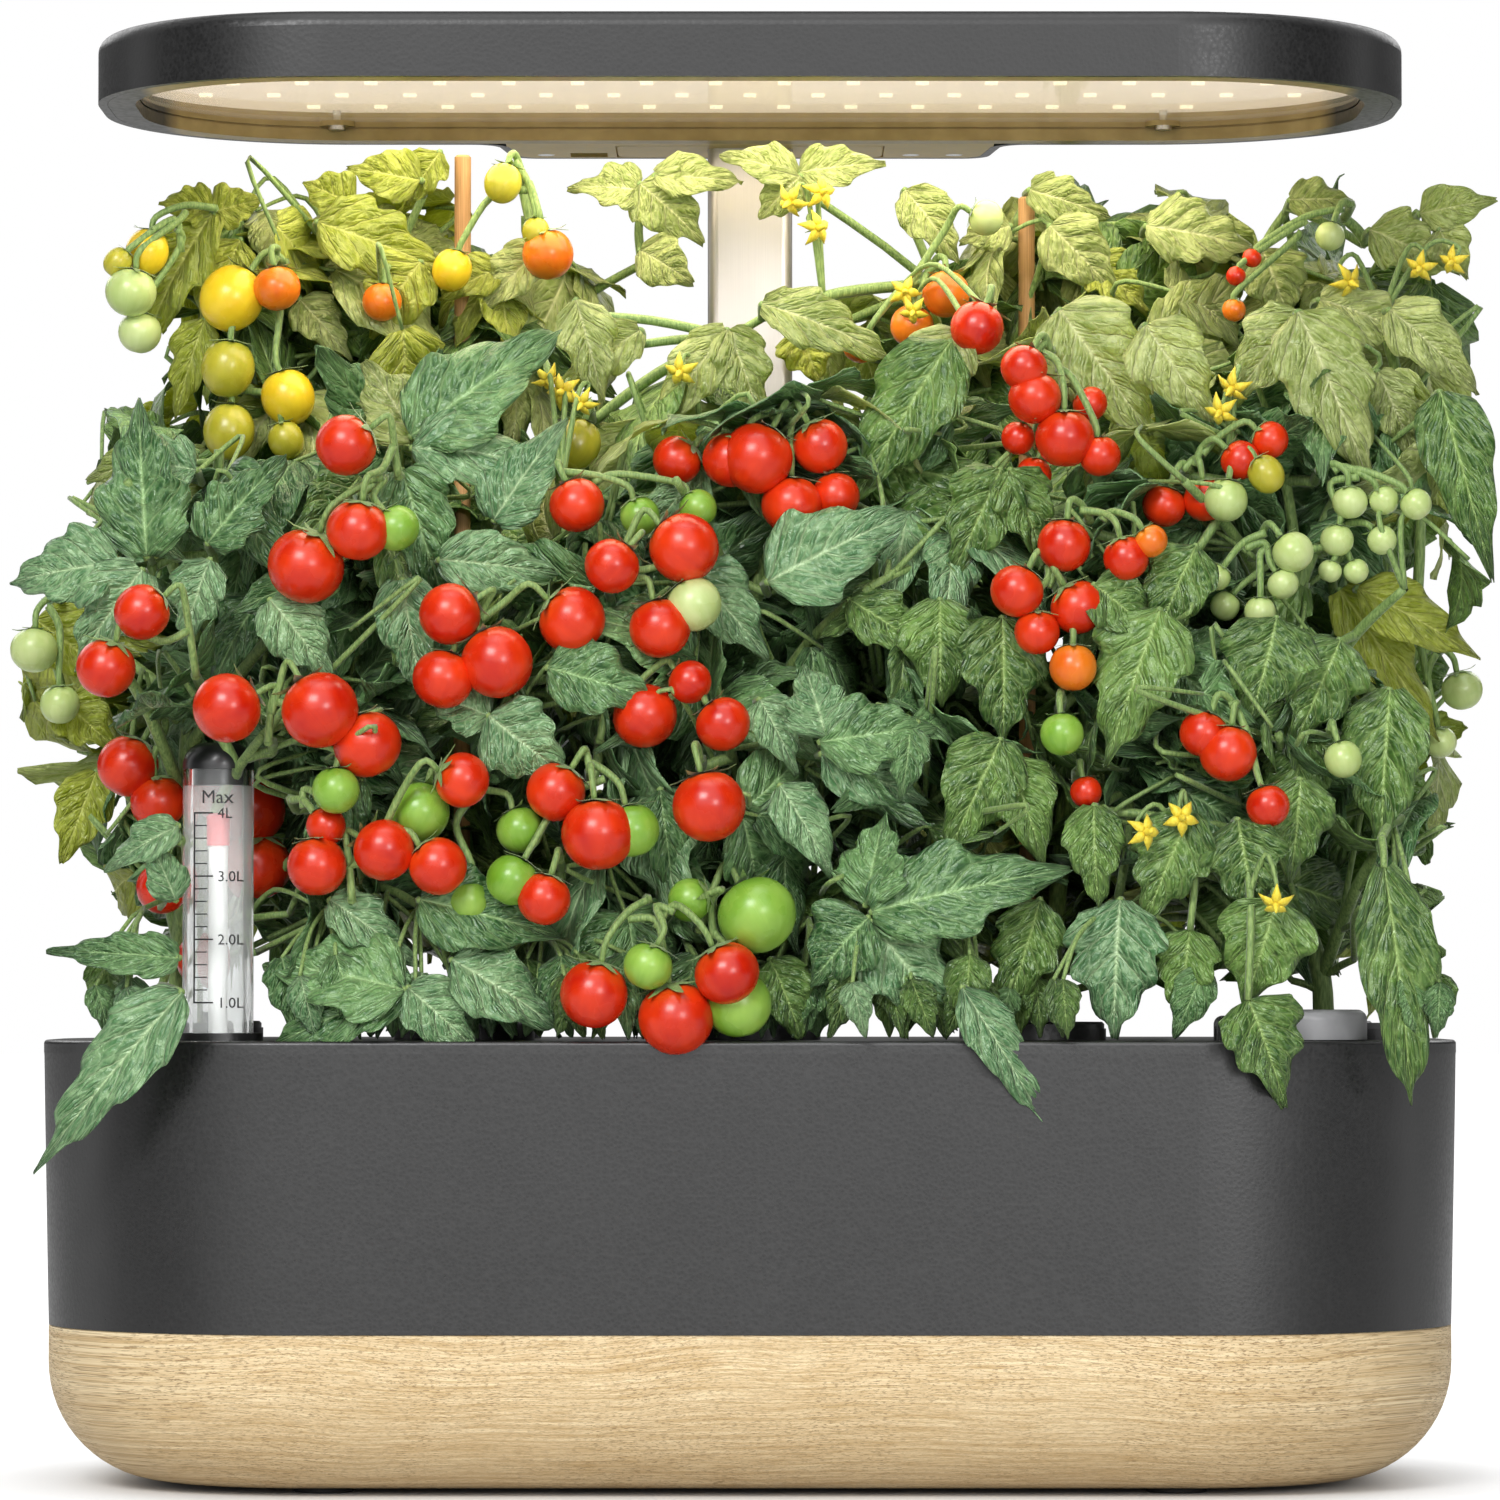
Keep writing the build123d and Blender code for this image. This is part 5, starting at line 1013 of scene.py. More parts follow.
# Fruit clusters: pixel where the stalk starts, depth (mm), then by ripeness the fruits: pixel and radius
CLUSTERS = (
    ((398, 476), -84, ("red", (346, 445, 31), (358, 530, 32), (306, 566, 39)), ("green", (396, 528, 24))),
    ((196, 676), -90, ("red", (142, 612, 28), (106, 668, 30))),
    ((268, 742), -93, ("red", (227, 708, 35), (320, 710, 39), (367, 744, 35)), ("green", (336, 790, 24))),
    ((176, 720), -40, ("red", (128, 766, 31), (158, 802, 28))),
    ((182, 850), -40, ("red", (162, 888, 26))),
    ((230, 770), -34, ("red", (204, 796, 22), (251, 810, 35), (259, 866, 33), (207, 960, 31))),
    ((292, 800), -84, ("red", (317, 866, 30), (326, 826, 20))),
    ((352, 900), -92, ("red", (384, 850, 31), (438, 866, 29), (462, 780, 28))),
    ((476, 640), -88, ("red", (450, 614, 31), (443, 679, 31), (497, 662, 36), (572, 620, 34))),
    ((610, 590), -86, ("red", (684, 548, 35), (660, 628, 31), (612, 566, 28)), ("pale", (694, 604, 28))),
    ((560, 480), -72, ("red", (577, 505, 28)), ("green", (640, 516, 20), (698, 508, 19))),
    ((600, 740), -86, ("red", (645, 716, 33), (723, 724, 28), (690, 682, 22))),
    ((700, 760), -92, ("red", (709, 806, 37))),
    ((590, 772), -92, ("red", (598, 834, 37), (556, 792, 30)), ("green", (632, 830, 28), (512, 880, 26))),
    ((560, 860), -93, ("red", (544, 899, 27))),
    ((648, 900), -94, ("red", (594, 994, 34), (676, 1018, 38), (727, 973, 33)), ("green", (648, 966, 25))),
    ((700, 930), -88, ("green", (757, 915, 40), (738, 1004, 34), (690, 900, 22))),
    ((440, 800), -80, ("green", (420, 812, 30), (520, 830, 24), (468, 900, 22))),
    ((790, 420), -66, ("red", (757, 458, 36), (730, 460, 28), (820, 446, 28), (792, 505, 31))),
    ((826, 470), -62, ("red", (836, 496, 24), (677, 460, 25))),
    ((990, 300), -50, ("red", (977, 328, 27))),
    ((1050, 350), -66, ("red", (1024, 368, 24), (1035, 398, 27), (1065, 438, 30), (1100, 456, 21))),
    ((1040, 420), -60, ("red", (1018, 438, 17), (1090, 404, 18), (1034, 474, 18))),
    ((1090, 520), -80, ("red", (1064, 545, 27), (1126, 558, 23)), ("orange", (1151, 541, 17))),
    ((1060, 580), -82, ("red", (1017, 591, 27), (1037, 632, 23), (1078, 607, 28)),
     ("orange", (1073, 667, 24))),
    ((1062, 700), -84, ("green", (1062, 734, 22))),
    ((1190, 470), -62, ("red", (1164, 506, 22), (1206, 500, 23), (1240, 460, 20), (1270, 440, 19))),
    ((1236, 470), -68, ("pale", (1226, 500, 22)), ("olive", (1266, 474, 18))),
    ((1320, 470), -64, ("pale", (1350, 502, 18), (1384, 500, 15), (1416, 504, 16), (1337, 540, 17))),
    ((1260, 540), -70, ("pale", (1293, 552, 21), (1217, 577, 14), (1283, 584, 16), (1260, 612, 16))),
    ((1330, 540), -60, ("pale", (1382, 540, 15), (1330, 571, 12), (1356, 571, 13), (1225, 606, 15))),
    ((1240, 716), -88, ("red", (1204, 734, 25), (1228, 753, 29), (1268, 806, 22))),
    ((1330, 730), -84, ("pale", (1343, 759, 19))),
    ((1080, 772), -80, ("red", (1086, 792, 16))),
    ((214, 208), 6, ("yellow", (147, 252, 22)), ("pale", (131, 292, 26), (140, 332, 22)),
     ("olive", (118, 262, 14))),
    ((284, 262), 8, ("yellow", (232, 298, 32)), ("orange", (277, 288, 24)), ("olive", (228, 368, 27)),
     ("yellow", (288, 397, 27))),
    ((254, 392), 8, ("olive", (229, 431, 26), (286, 440, 18))),
    ((392, 278), 12, ("orange", (382, 302, 20))),
    ((590, 410), -30, ("olive", (577, 444, 24))),
    ((520, 168), 14, ("olive", (503, 183, 19), (536, 232, 14)), ("orange", (548, 254, 26)),
     ("yellow", (452, 270, 20))),
    ((930, 270), 0, ("orange", (946, 294, 24), (912, 326, 22), (860, 346, 18)), ("pale", (986, 218, 18))),
    ((1350, 204), 4, ("pale", (1330, 236, 15)), ("red", (1252, 258, 10), (1236, 276, 10)),
     ("orange", (1234, 310, 12))),
    ((1420, 650), -10, ("pale", (1412, 700, 20), (1462, 690, 21), (1440, 742, 17), (1392, 624, 15))),
    ((60, 600), 0, ("pale", (34, 650, 24), (60, 704, 20))),
)

# Flowers: pixel and depth (mm)
FLOWERS = (
    (562, 392, -44), (582, 404, -46), (548, 380, -42), (680, 372, -34), (790, 202, -4), (822, 192, -2),
    (818, 228, -4), (905, 292, -8), (913, 312, -10), (1146, 832, -96), (1182, 818, -94), (1276, 904, -98),
    (1420, 268, 2), (1452, 262, 2), (1220, 412, -60), (1350, 282, -2), (1232, 388, -58),
)

# Outline of the foliage in the picture, in pixels, without the single leaves
OUTLINE = (
    (95, 1045), (95, 960), (135, 900), (66, 855), (8, 745), (0, 560), (95, 530), (95, 405), (165, 405),
    (165, 345), (85, 330), (85, 215), (190, 185), (300, 158), (345, 146), (440, 148), (560, 158), (690, 172),
    (715, 128), (800, 116), (888, 148), (890, 190), (960, 205), (1030, 183), (1190, 200), (1290, 186),
    (1350, 180), (1500, 192), (1504, 600), (1492, 650), (1452, 760), (1440, 860), (1455, 1000), (1440, 1045),
)
OUTLINE_DEPTH = -60  # in millimetres
OUTLINE_REACH = 12 / PICTURE_FOCAL  # leaves may stand out of it by this much
# what the filling leaves keep clear of: radii in pixels, and places as shares or millimetres
FLOWER_PIXELS, STAKE_PIXELS, CAP_PIXELS = 15, 14, 16
STAKE_DROPS = (1, 6, 11, 16, 21, 26)
CAP_SHARES = (0.15, 0.4, 0.6, 0.85)
LEAF_SHARES = (0.15, 0.4, 0.65)
LEAF_RADIUS = 0.30  # of a single leaf's width


def seen_at(point):
    """Where the camera sees a point: across, up and how far off."""
    gap = point - CAMERA_PLACE
    return gap.x / gap.y, gap.z / gap.y, gap.y


def all_seen_at(points):
    """The same for an array of points."""
    gap = points - np.array(CAMERA_PLACE)
    return gap[:, 0] / gap[:, 1], gap[:, 2] / gap[:, 1], gap[:, 1]


def kept_in_view():
    """What the filling leaves may not cover: fruit, flowers, the stakes' tops, the inlet cap and the single
    leaves, as circles seen by the camera."""
    circles = []

    def keep(point, pixels):
        circles.append((*seen_at(point), pixels / PICTURE_FOCAL))

    for _, depth, *groups in CLUSTERS:
        for _, *fruits in groups:
            for column, row, radius in fruits:
                keep(at_pixel(column, row, depth), radius)
    for flower in FLOWERS:
        keep(at_pixel(*flower), FLOWER_PIXELS)
    for name in ("left_stake", "right_stake"):
        low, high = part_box(name)
        for drop in STAKE_DROPS:
            keep(Vector(((low.x + high.x) / 2, low.y, high.z - drop * MM)), STAKE_PIXELS)
    for share in CAP_SHARES:
        keep(Vector((CAP_LOW.x + share * (CAP_HIGH.x - CAP_LOW.x), CAP_LOW.y, CAP_HIGH.z)), CAP_PIXELS)
    for left, top, right, bottom, wide, base_depth, tip_depth, _, _ in CLEAR_LEAVES:
        start, end = at_pixel(left, top, base_depth), at_pixel(right, bottom, tip_depth)
        for share in LEAF_SHARES:
            keep(start.lerp(end, share), LEAF_RADIUS * wide)
    return np.array(circles)


KEPT = kept_in_view()
EDGE = np.array([seen_at(at_pixel(column, row, OUTLINE_DEPTH))[:2] for column, row in OUTLINE])


def hides(points):
    """True if a leaf with these points would cover something that is kept in view."""
    across, up, off = all_seen_at(points)
    apart = np.hypot(KEPT[None, :, 0] - across[:, None], KEPT[None, :, 1] - up[:, None])
    covers = (apart < KEPT[None, :, 3]) & (off[:, None] < KEPT[None, :, 2] + 1 * MM)
    return bool(covers.any())


def sticks_out(points):
    """True if a leaf with these points shows outside the picture's outline."""
    across, up, _ = all_seen_at(points)
    middle_x, middle_z = EDGE.mean(axis=0)
    across = across - OUTLINE_REACH * np.sign(across - middle_x)
    up = up - OUTLINE_REACH * np.sign(up - middle_z)
    inside = np.zeros(len(points), dtype=bool)
    for (x0, z0), (x1, z1) in zip(EDGE, np.roll(EDGE, -1, axis=0)):
        crosses = (z0 > up) != (z1 > up)
        inside ^= crosses & (across < x0 + (x1 - x0) * (up - z0) / (z1 - z0 if z1 != z0 else 1.0))
    low = up < EDGE[:, 1].min()
    return bool((~inside & ~low).any())


def plant_at(plants, x, y):
    """The plant whose cell holds this place."""
    if y > ROW_SPLIT:
        return plants[3] if x < 0 else plants[4]
    if x < -MIDDLE_HALF:
        return plants[0]
    return plants[1] if x < MIDDLE_HALF else plants[2]


BRANCHES = 9
BRANCH_TURN = 2.4  # from one branch to the next, in radians
BRANCH_RISE = 42 * MM
BRANCH_GAP = 26 * MM  # from the plant's top
STEM_GAP = 34 * MM
REAR_STEM_SHIFT = 6.5 * MM  # keeps it off the stake in its sponge


def grow_stems(plant, luck):
    """The main stem from its sponge, with a few side branches."""
    low, high = CELLS[plant.number - 1]
    root = STEM_ROOTS[plant.number - 1].copy()
    if plant.number > REAR_PLANTS:
        root.x += REAR_STEM_SHIFT
    middle_x = (low.x + high.x) / 2
    middle_y = (low.y + high.y) / 2
    top = Vector((middle_x * 0.75 + root.x * 0.25, middle_y * 0.6 + root.y * 0.4, high.z - STEM_GAP))
    points = [root, root + UP * 22 * MM]
    for share in (0.3, 0.55, 0.8, 1.0):
        here = root.lerp(top, share)
        here.x += luck.uniform(-5, 5) * MM
        here.y += luck.uniform(-4, 4) * MM
        points.append(here)
    path = smooth_path(points, 6)
    plant.stems.tube(path, tapered(path, 3.2, 1.9), 10)
    plant.joints.extend(path[5:])
    reach_x = (high.x - low.x) * 0.30
    reach_y = (high.y - low.y) * 0.26
    for k in range(BRANCHES):
        start = path[int(len(path) * (0.22 + 0.62 * k / BRANCHES))]
        turn = BRANCH_TURN * k + luck.uniform(-0.4, 0.4)
        end_z = start.z + BRANCH_RISE
        end = Vector((middle_x + reach_x * math.cos(turn), middle_y + reach_y * math.sin(turn), end_z))
        end.z = min(end.z, high.z - BRANCH_GAP)
        branch = smooth_path([start, start.lerp(end, 0.5) + UP * 6 * MM, end], 6)
        plant.stems.tube(branch, tapered(branch, 2.0, 0.9), 8)
        plant.joints.extend(branch[3:])


LEAF_SPACING = 25 * MM  # between the compound leaves on a plant's outside
LEAF_LOWEST = 136 * MM  # leaf stalks end above this height
SPOTS_TRIED = 9000
COVERED_DEPTH, COVERED_TOP = 26 * MM, 240 * MM  # the part of the rear plants behind the front ones
UNDERSIDE = 24 * MM  # height of a plant's solid that counts as its underside


def outer_spots(number, luck):
    """Evenly spread points on the outside of a plant's CAD solid, with the way each one faces. The front of
    the rear plants is left out where the front plants stand before it."""
    mesh = nodes[PLANTS[number - 1]].data
    mesh.calc_loop_triangles()
    corners = [[mesh.vertices[i].co for i in triangle.vertices] for triangle in mesh.loop_triangles]
    areas = [(b - a).cross(c - a).length for a, b, c in corners]
    low = CELLS[number - 1][0]
    spots = []
    for index in luck.choices(range(len(corners)), weights=areas, k=SPOTS_TRIED):
        a, b, c = corners[index]
        u, v = luck.random(), luck.random()
        if u + v > 1:
            u, v = 1 - u, 1 - v
        point = a + (b - a) * u + (c - a) * v
        facing = mesh.loop_triangles[index].normal.copy()
        covered = number > REAR_PLANTS and point.y < low.y + COVERED_DEPTH and point.z < COVERED_TOP
        under = point.z < low.z + UNDERSIDE and (facing.z < -0.75 or point.z < LEAF_LOWEST)
        if covered or under:
            continue
        if all((point - other).length_squared > LEAF_SPACING**2 for other, _ in spots):
            spots.append((point, facing))
    return spots


# where the lamp's light or the picture's colours change the leaves, in metres
REAR_PALE_Z, REAR_PALE_X, LIME_X = 0.285, 0.165, -0.06
FRONT_PALE_Z, FRONT_PALEST_Z, MIDDLE_OLIVE_X = 0.24, 0.27, 0.035


def tone_at(point, number, luck):
    """Leaf colour by place: bluish green at the front left, olive at the right, yellowish at the top of the
    back; the pale and lime tones there are the lamp's warm light painted into the leaves' colour."""
    if number > REAR_PLANTS:
        if point.z > REAR_PALE_Z or abs(point.x) > REAR_PALE_X:
            return "lime" if point.x < LIME_X and luck.random() < 0.6 else "pale"
        return luck.choice(("mid", "mid", "pale"))
    if point.z > FRONT_PALE_Z:
        return luck.choice(("pale", "mid", "pale" if point.z > FRONT_PALEST_Z else "bright"))
    if number == 3 or (number == 2 and point.x > MIDDLE_OLIVE_X):
        return luck.choice(("mid", "mid", "mid", "deep"))
    return luck.choice(("deep", "deep", "deep", "bright", "mid"))


HANGING_TOP = 165 * MM  # below this height, the leaves of a plant hang
LEAF_SIZES = (24, 27, 30, 33, 36, 42)
SHADED_SIZE = 36 * MM


def grow_filling(plant, luck):
    """Compound leaves all over the outside of the plant's CAD solid, facing outwards and up, at all slants,
    the lowest ones hanging; under each a shaded one further in."""
    for point, facing in outer_spots(plant.number, luck):
        normal = facing + UP * luck.uniform(0.1, 0.6)
        normal += Vector((luck.uniform(-0.25, 0.25), luck.uniform(-0.25, 0.25), 0))
        normal.normalize()
        hang = -1.2 if point.z < HANGING_TOP else luck.uniform(-1.0, 0.1)
        down = Vector((luck.uniform(-1.1, 1.1), luck.uniform(-0.5, 0.5), hang)) + facing * 0.5
        way = (down - normal * down.dot(normal)).normalized()
        size = luck.choice(LEAF_SIZES) * MM
        tip = point - way * size * 0.35 - facing * 2 * MM
        tone = tone_at(point, plant.number, luck)
        grow_spray(plant, tip, way, normal, size, tone, luck, luck.choice((1, 1, 2)))
        turned = (way.cross(normal) * luck.choice((-1, 1)) + way * 0.4).normalized()
        within = tip - facing * luck.uniform(16, 28) * MM
        tone = "mid" if plant.number > REAR_PLANTS else "deep"
        grow_spray(plant, within, turned, normal, SHADED_SIZE, tone, luck, 1)


def grow_spray(plant, tip, way, normal, size, tone, luck, pairs):
    """A compound leaf with a stalk to the plant."""
    joint = nearest_joint(plant, tip, 12 * MM)
    inner = tip.lerp(joint, min(1.0, 30 * MM / max((joint - tip).length, 1 * MM)))
    line = [joint.lerp(tip, share / 8) for share in range(9)]
    if hides(np.array(line)) or too_far(line):
        return
    if spray(plant, inner, tip, way, normal, size, tone, luck, pairs):
        stalk(plant, joint, inner, 1.2 * MM, 0.05, luck, 0.85, 2)


SKIRT_STEP = 7 * MM
SKIRT_REACH = 190 * MM  # to each side of the middle
SKIRT_PLACE = -98 * MM
SKIRT_ROWS = (0, 14 * MM)
SKIRT_BACKS = (0, 10, 20, 32, 44)  # how far a hanging leaf moves back where it would be in the way, in mm
SKIRT_STALK = 62 * MM  # the longest stalk of a hanging leaf


def grow_skirt(plants, luck):
    """Small hanging leaves along the bottom of the foliage at the front, down to the deck."""
    for start in SKIRT_ROWS:
        for step in range(int(2 * SKIRT_REACH / SKIRT_STEP) + 1):
            x = (step + luck.uniform(-0.4, 0.4)) * SKIRT_STEP - SKIRT_REACH
            length = luck.uniform(13, 23) * MM
            droop = luck.uniform(0.1, 0.45)
            normal = (TO_FRONT + Vector((luck.uniform(-0.5, 0.5), 0, 0.12))).normalized()
            way = Vector((luck.uniform(-0.45, 0.45), 0, -1))
            way = (way - normal * way.dot(normal)).normalized()
            for back in SKIRT_BACKS:
                base = Vector((x, SKIRT_PLACE + start + back * MM, DECK_TOP + 1 * MM - way.z * length))
                plant = plant_at(plants, base.x, base.y)
                joint = inner_joint(plant, base + Vector((0, 12 * MM, 15 * MM)))
                if (joint - base).length > SKIRT_STALK:
                    continue
                tone = tone_at(base, plant.number, luck)
                if leaflet(plant, base, way, length, 0.66 * length, normal, tone, luck, droop, 0.25):
                    stalk(plant, joint, base, 0.8 * MM, 0.1, luck, 0.7, 3)
                    break


PALE_ROW = 480  # single leaves above this row are pale in the lamp's light
LEAF_BACK, FRUIT_BACK = 20 * MM, 18 * MM  # how far behind a leaf or a fruit cluster its stalk turns


def grow_clear_leaves(plants, luck):
    """The single leaves that the picture shows clearly, where it shows them."""
    for left, top, right, bottom, wide, base_depth, tip_depth, tone, droop in CLEAR_LEAVES:
        base = at_pixel(left, top, base_depth)
        way = at_pixel(right, bottom, tip_depth) - base
        plant = plant_at(plants, base.x, base_depth * MM)
        length = way.length * (1 + droop**2 / 8)
        lift = Matrix.Rotation(-droop / 2, 3, way.cross(TO_FRONT).normalized())
        slant = Vector((luck.uniform(-0.3, 0.3), 0, luck.uniform(-0.2, 0.2)))
        face = (TO_FRONT + UP * 0.35 + slant).normalized()
        width = wide * pixel_size(base_depth) * 1.2
        if tone == "deep" and luck.random() < 0.6:
            tone = "bright"
        if tone == "mid" and bottom < PALE_ROW:
            tone = "pale"
        fold = luck.uniform(0.15, 0.4)
        leaflet(plant, base, lift @ way, length, width, face, tone, luck, droop, fold, 0.07, FINE)
        turn = behind(base, LEAF_BACK)
        stalk(plant, inner_joint(plant, turn), turn, 1.4 * MM, 0.03, luck, 0.85, 4)
        stalk(plant, turn, base, 1.2 * MM, 0.05, luck, 0.8, 4)


FRUIT_ROWS = 15
FRUIT_COLUMNS = 20
SEPALS = 6
PETALS = 5
LONG_FRUIT = 1.16  # how tall the plum-shaped ones are over their width


def grow_fruit(plant, centre, radius, ripeness, stem_end, luck):
    """A tomato with its calyx, hanging from the end of its stalk."""
    axis = (stem_end - centre).normalized()
    side = axis.orthogonal().normalized()
    other = axis.cross(side)
    spin = luck.uniform(0, 6.28)
    tall = luck.uniform(0.94, 1.02) * (LONG_FRUIT if ripeness in ("olive", "yellow") else 1.0)
    points, spots = [], []
    for row in range(FRUIT_ROWS):
        polar = math.pi * (0.02 + 0.96 * row / (FRUIT_ROWS - 1))
        dent = 0.13 * math.exp(-((polar / 0.42) ** 2)) + 0.03 * math.exp(-(((math.pi - polar) / 0.2) ** 2))
        height = radius * tall * (math.cos(polar) - dent * (1 if polar < 1.6 else -1))
        for column, out in enumerate(ring(side, other, FRUIT_COLUMNS, spin)):
            turn = 2 * math.pi * column / FRUIT_COLUMNS + spin
            lobe = 1 + 0.018 * math.cos(5 * turn) * math.exp(-polar)
            points.append(centre + axis * height + radius * math.sin(polar) * lobe * out)
            spots.append((column / FRUIT_COLUMNS, row / (FRUIT_ROWS - 1)))
    plant.fruit.grid(points, FRUIT_ROWS, FRUIT_COLUMNS, RIPENESS.index(ripeness), spots, closed=True)
    crown = centre + axis * radius * tall * 0.88
    for out in ring(side, other, SEPALS, spin):
        across = axis.cross(out)
        long = radius * luck.uniform(0.85, 1.2)
        curl = luck.uniform(0.4, 1.1)
        strip = []
        for i, wide in enumerate((0.10, 0.16, 0.13, 0.08, 0.015)):
            t = i / 4
            rise = 0.10 * radius - long * (0.42 * t * t - curl * 0.42 * t**3)
            here = crown + out * long * t * 0.95 + axis * rise
            for hand in (-1, 0, 1):
                strip.append(here + across * hand * wide * radius - axis * 0.02 * radius * abs(hand))
        plant.stems.grid(strip, 5, 3)


def grow_clusters(plants, luck):
    """The fruit clusters that the picture shows, each on its branched stalk."""
    for base_spot, depth, *groups in CLUSTERS:
        base = at_pixel(*base_spot, depth + 6)
        plant = plant_at(plants, base.x, depth * MM)
        turn = behind(base, FRUIT_BACK)
        stalk(plant, inner_joint(plant, turn), turn, 1.7 * MM, 0.03, luck, 0.9, 5)
        stalk(plant, turn, base, 1.5 * MM, 0.08, luck, 0.85, 5)
        previous = base
        for ripeness, (column, row, pixels) in [(group[0], fruit) for group in groups for fruit in group[1:]]:
            shift = luck.uniform(-4, 3)
            centre = at_pixel(column, row, depth + shift)
            radius = pixels * pixel_size(depth + shift)
            pull = (previous.lerp(base, 0.35) - centre).normalized()
            sway = Vector((luck.uniform(-0.3, 0.3), luck.uniform(-0.35, 0.1), 0))
            axis = (UP * 0.75 + pull * 0.7 + sway).normalized()
            stem_end = centre + axis * radius * 1.02
            knee = stem_end + axis * radius * 0.65
            grow_fruit(plant, centre, radius, ripeness, stem_end, luck)
            high = (knee + base) / 2 + UP * 2 * MM
            path = smooth_path([base.lerp(previous, 0.5), high, knee, stem_end - axis * 0.6 * MM], 4)
            plant.stems.tube(path, tapered(path, 1.15, 0.35), 7)
            previous = knee


def grow_flower(plant, centre, way, luck):
    """A nodding flower with five pointed petals, a cone of stamens and green sepals."""
    side = way.orthogonal().normalized()
    other = way.cross(side)
    spin = luck.uniform(0, 6.28)
    size = luck.uniform(4.2, 5.4) * MM
    for out in ring(side, other, PETALS, spin):
        across = way.cross(out)
        strip = []
        for i, wide in enumerate((0.12, 0.27, 0.24, 0.13, 0.01)):
            t = i / 4
            here = centre + out * size * (0.12 + 0.88 * t) - way * size * (0.75 * t * t - 0.25 * t)
            for hand in (-1, 0, 1):
                strip.append(here + across * hand * wide * size + way * 0.06 * size * (1 - abs(hand)))
        plant.flowers.grid(strip, 5, 3)
    cone = [centre - way * 0.2 * size, centre + way * 0.25 * size, centre + way * 0.75 * size]
    plant.flowers.tube(cone, [0.16 * size, 0.17 * size, 0.04 * size], 8)
    top = centre - way * 0.25 * size
    for out in ring(side, other, PETALS, spin + math.pi / PETALS):
        sepal = [top, top + out * size * 0.3, top + out * size * 0.55 - way * size * 0.25]
        plant.stems.tube(sepal, [0.35 * MM, 0.3 * MM, 0.06 * MM], 5)


def grow_flowers(plants, luck):
    """The flowers that the picture shows, each on a stalk of its own."""
    for column, row, depth in FLOWERS:
        centre = at_pixel(column, row, depth)
        plant = plant_at(plants, centre.x, depth * MM)
        way = Vector((luck.uniform(-0.5, 0.5), -0.7, luck.uniform(-0.7, 0.2))).normalized()
        grow_flower(plant, centre, way, luck)
        joint = nearest_joint(plant, centre, 6 * MM)
        knee = centre - way * 5 * MM + UP * 3 * MM
        path = smooth_path([joint, joint.lerp(knee, 0.6) + UP * 8 * MM, knee, centre - way * 1.2 * MM], 5)
        plant.stems.tube(path, tapered(path, 0.9, 0.45))


def thicken(piece, thickness):
    """Turn open sheets into thin closed solids."""
    solid = piece.modifiers.new("thickness", "SOLIDIFY")
    solid.thickness = thickness
    solid.offset = 0.0


def grow_plants():
    """The five plants. Each one's leaves stand for its CAD solid."""
    leaf_materials = [leaf_finish(tone) for tone in LEAVES]
    stem_material = stem_finish()
    fruit_materials = [fruit_finish(ripeness) for ripeness in FRUITS]
    petals = petal_finish()
    plants = [Plant(number) for number in range(1, 6)]
    for plant in plants:
        luck = random.Random(40 + plant.number)
        grow_stems(plant, luck)
        grow_filling(plant, luck)
    grow_clear_leaves(plants, random.Random(7))
    grow_skirt(plants, random.Random(17))
    grow_clusters(plants, random.Random(11))
    grow_flowers(plants, random.Random(13))
    for plant in plants:
        stem = f"plant_{plant.number}"
        leaves = plant.leaves.piece(f"{stem}_leaves", leaf_materials, "deck")
        thicken(leaves, LEAF_THICK)
        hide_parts(PLANTS[plant.number - 1])
        stems = plant.stems.piece(f"{stem}_stems", [stem_material], "deck")
        if plant.fruit.faces:
            fruit = plant.fruit.piece(f"{stem}_fruit", fruit_materials, "deck")
        if plant.flowers.faces:
            flowers = plant.flowers.piece(f"{stem}_flowers", [petals], "deck")
            thicken(flowers, PETAL_THICK)


# ---------------------------------------------------------------- studio

FLOOR_HALF = 12.0
FLOOR_SHADOW = 0.035  # the floor is darker within this distance of the object


def make_floor():
    """A pale floor that shows white to the camera and keeps the object's shadow, darkest where it touches."""
    g = Graph("studio_floor")
    g.set(Base_Color=g.mix(g.noise(g.place(), 0.01), (0.74, 0.74, 0.74), (0.77, 0.77, 0.77)))
    g.set(Roughness=0.9, Specular_IOR_Level=0.05)
    where = g.node("ShaderNodeTexCoord", "Object")
    distance = g.node("ShaderNodeVectorMath", "Value", operation="LENGTH", Vector=where)
    glow = g.node("ShaderNodeEmission", Strength=g.span(distance, 0.2, 0.8, 1.28, 1.6))
    seen = g.math("MAXIMUM", g.seen_through(), g.times(g.ray("Glossy"), 0.3))
    near = g.node("ShaderNodeAmbientOcclusion", "AO", samples=8, Distance=FLOOR_SHADOW)
    share = g.times(g.times(seen, 0.72), g.math("POWER", near, 1.1))
    g.surface(g.blend(share, g.shader.outputs[0], glow))
    mesh = bpy.data.meshes.new("studio_floor")
    corners = [(x * FLOOR_HALF, y * FLOOR_HALF, 0) for x, y in ((-1, -1), (1, -1), (1, 1), (-1, 1))]
    mesh.from_pydata(corners, [], [(0, 1, 2, 3)])
    mesh.materials.append(g.owner)
    floor = link("studio_floor", mesh)


# Studio round the object: share of the way from behind (0) to the front (1), and brightness there
STUDIO_ROUND = (
    (0.0, 0.3), (0.03, 0.2), (0.06, 0.03), (0.22, 0.0), (0.29, 0.1), (0.34, 2.1), (0.39, 1.4), (0.45, 0.1),
    (0.54, 0.0), (0.79, 0.0), (0.87, 1.2), (0.94, 2.8), (1.0, 2.9),
)
STUDIO_PEAK = 2.9
STUDIO_LEVEL = 0.47  # how bright it is as a light


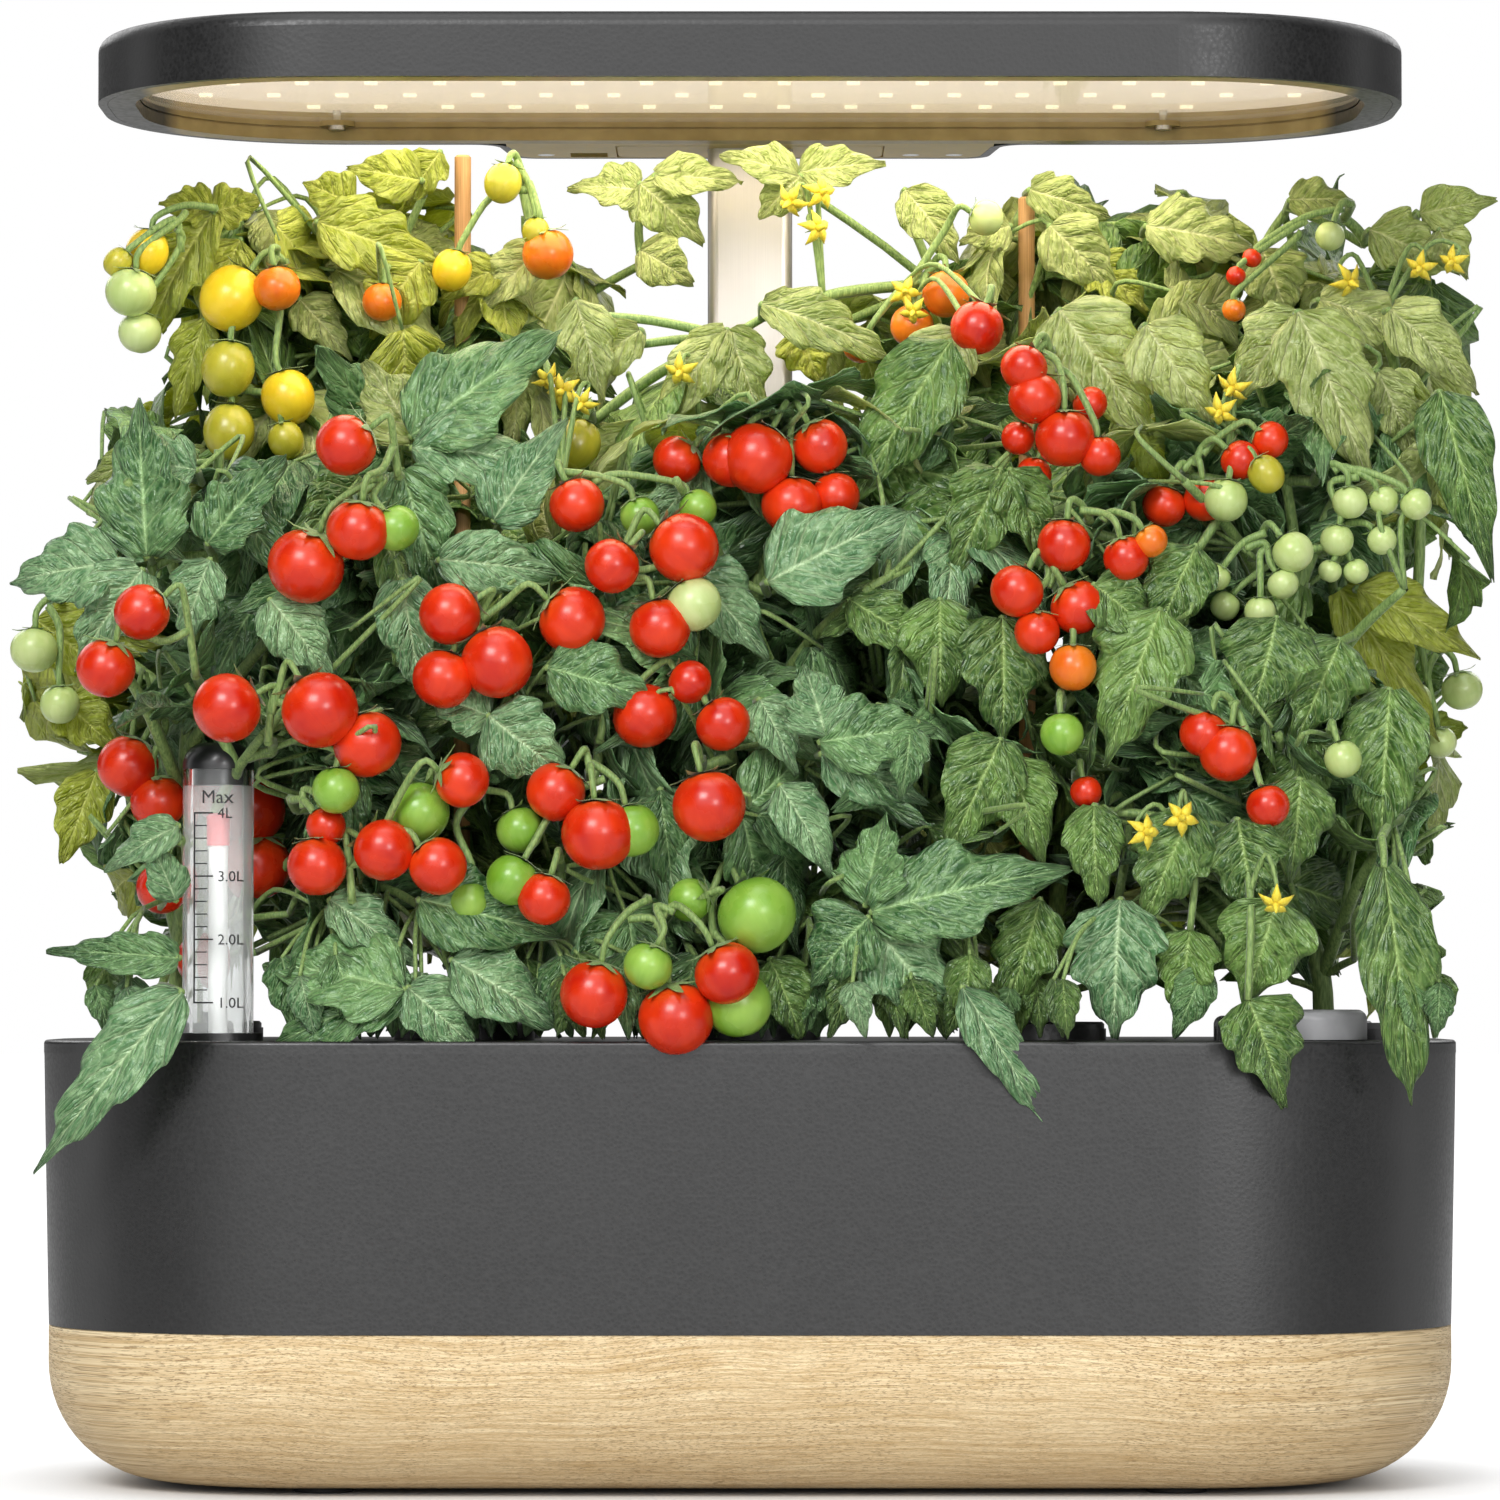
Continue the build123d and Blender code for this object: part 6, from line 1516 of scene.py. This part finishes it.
def make_world():
    """A studio that shows white behind the object, with a wide bright front and a narrow bright band at
    each side; as light it is soft and dim."""
    g = Graph("studio_world", world=True)
    x, y, _ = g.split(g.node("ShaderNodeTexCoord", "Generated"))
    flat = g.math("SQRT", g.plus(g.times(x, x), g.times(y, y)))
    ramp = g.tree.nodes.new("ShaderNodeValToRGB")
    g.put(ramp.inputs[0], g.plus(g.times(g.math("DIVIDE", y, flat), -0.5), 0.5))
    stops = ramp.color_ramp.elements
    while len(stops) < len(STUDIO_ROUND):
        stops.new(0.5)
    for stop, (place, bright) in zip(stops, STUDIO_ROUND):
        stop.position = place
        stop.color = (bright / STUDIO_PEAK,) * 3 + (1.0,)
    level = g.plus(g.times(g.ray("Glossy"), STUDIO_PEAK - STUDIO_LEVEL), STUDIO_LEVEL)
    studio = g.node("ShaderNodeBackground", Color=ramp.outputs[0], Strength=level)
    g.surface(g.blend(g.seen_through(), studio, g.node("ShaderNodeBackground", Color=(1.0, 1.0, 1.0, 1.0))))
    bpy.context.scene.world = g.owner


# Soft boxes: place, what they face, size, and the part of a plain level of light that they give there
SOFT_BOXES = {
    "key": ((-0.75, -2.1, 1.55), (0, 0, 0.2), (1.0, 0.8), 0.64),
    "front_right": ((0.9, -2.3, 0.6), (0, 0, 0.2), (0.5, 0.5), 0.20),
    "overhead": ((0.0, -0.1, 1.7), (0, 0, 0.1), (1.4, 1.0), 0.36),
    "rear_left": ((-1.2, 1.7, 1.4), (0, 0, 0.2), (1.2, 1.2), 0.22),
    "rear_right": ((1.2, 1.7, 1.4), (0, 0, 0.2), (1.2, 1.2), 0.22),
}
GROW_LIGHT = 0.85  # the same part, from the lamp
GROW_COLOUR = (1.0, 0.88, 0.66)


def soft_box(name, place, target, size, share, colour=(1.0, 1.0, 1.0)):
    """A square light whose share is the part of a plain level that it gives a surface facing it at the
    target."""
    data = bpy.data.lights.new(name, "AREA")
    data.shape = "RECTANGLE"
    data.size, data.size_y = size
    gap = Vector(target) - Vector(place)
    data.energy = share * math.pi**2 * gap.length_squared
    data.color = colour
    light = link(name, data)
    light.location = place
    light.rotation_euler = gap.to_track_quat("-Z", "Y").to_euler()


def make_lights():
    """The studio's soft boxes, and a warm one under the lamp."""
    for name, values in SOFT_BOXES.items():
        soft_box(name, *values)
    low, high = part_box("lens_panel")
    size = (0.8 * (high.x - low.x), 0.7 * (high.y - low.y))
    under = Vector(((low.x + high.x) / 2, (low.y + high.y) / 2, LAMP_UNDER - 1 * MM))
    soft_box("grow_light", under, under - UP * 0.2, size, GROW_LIGHT, GROW_COLOUR)


make_camera()
finish_cad_nodes()
make_scale()
grow_plants()
make_floor()
make_world()
make_lights()
bpy.context.scene.view_settings.view_transform = "Standard"
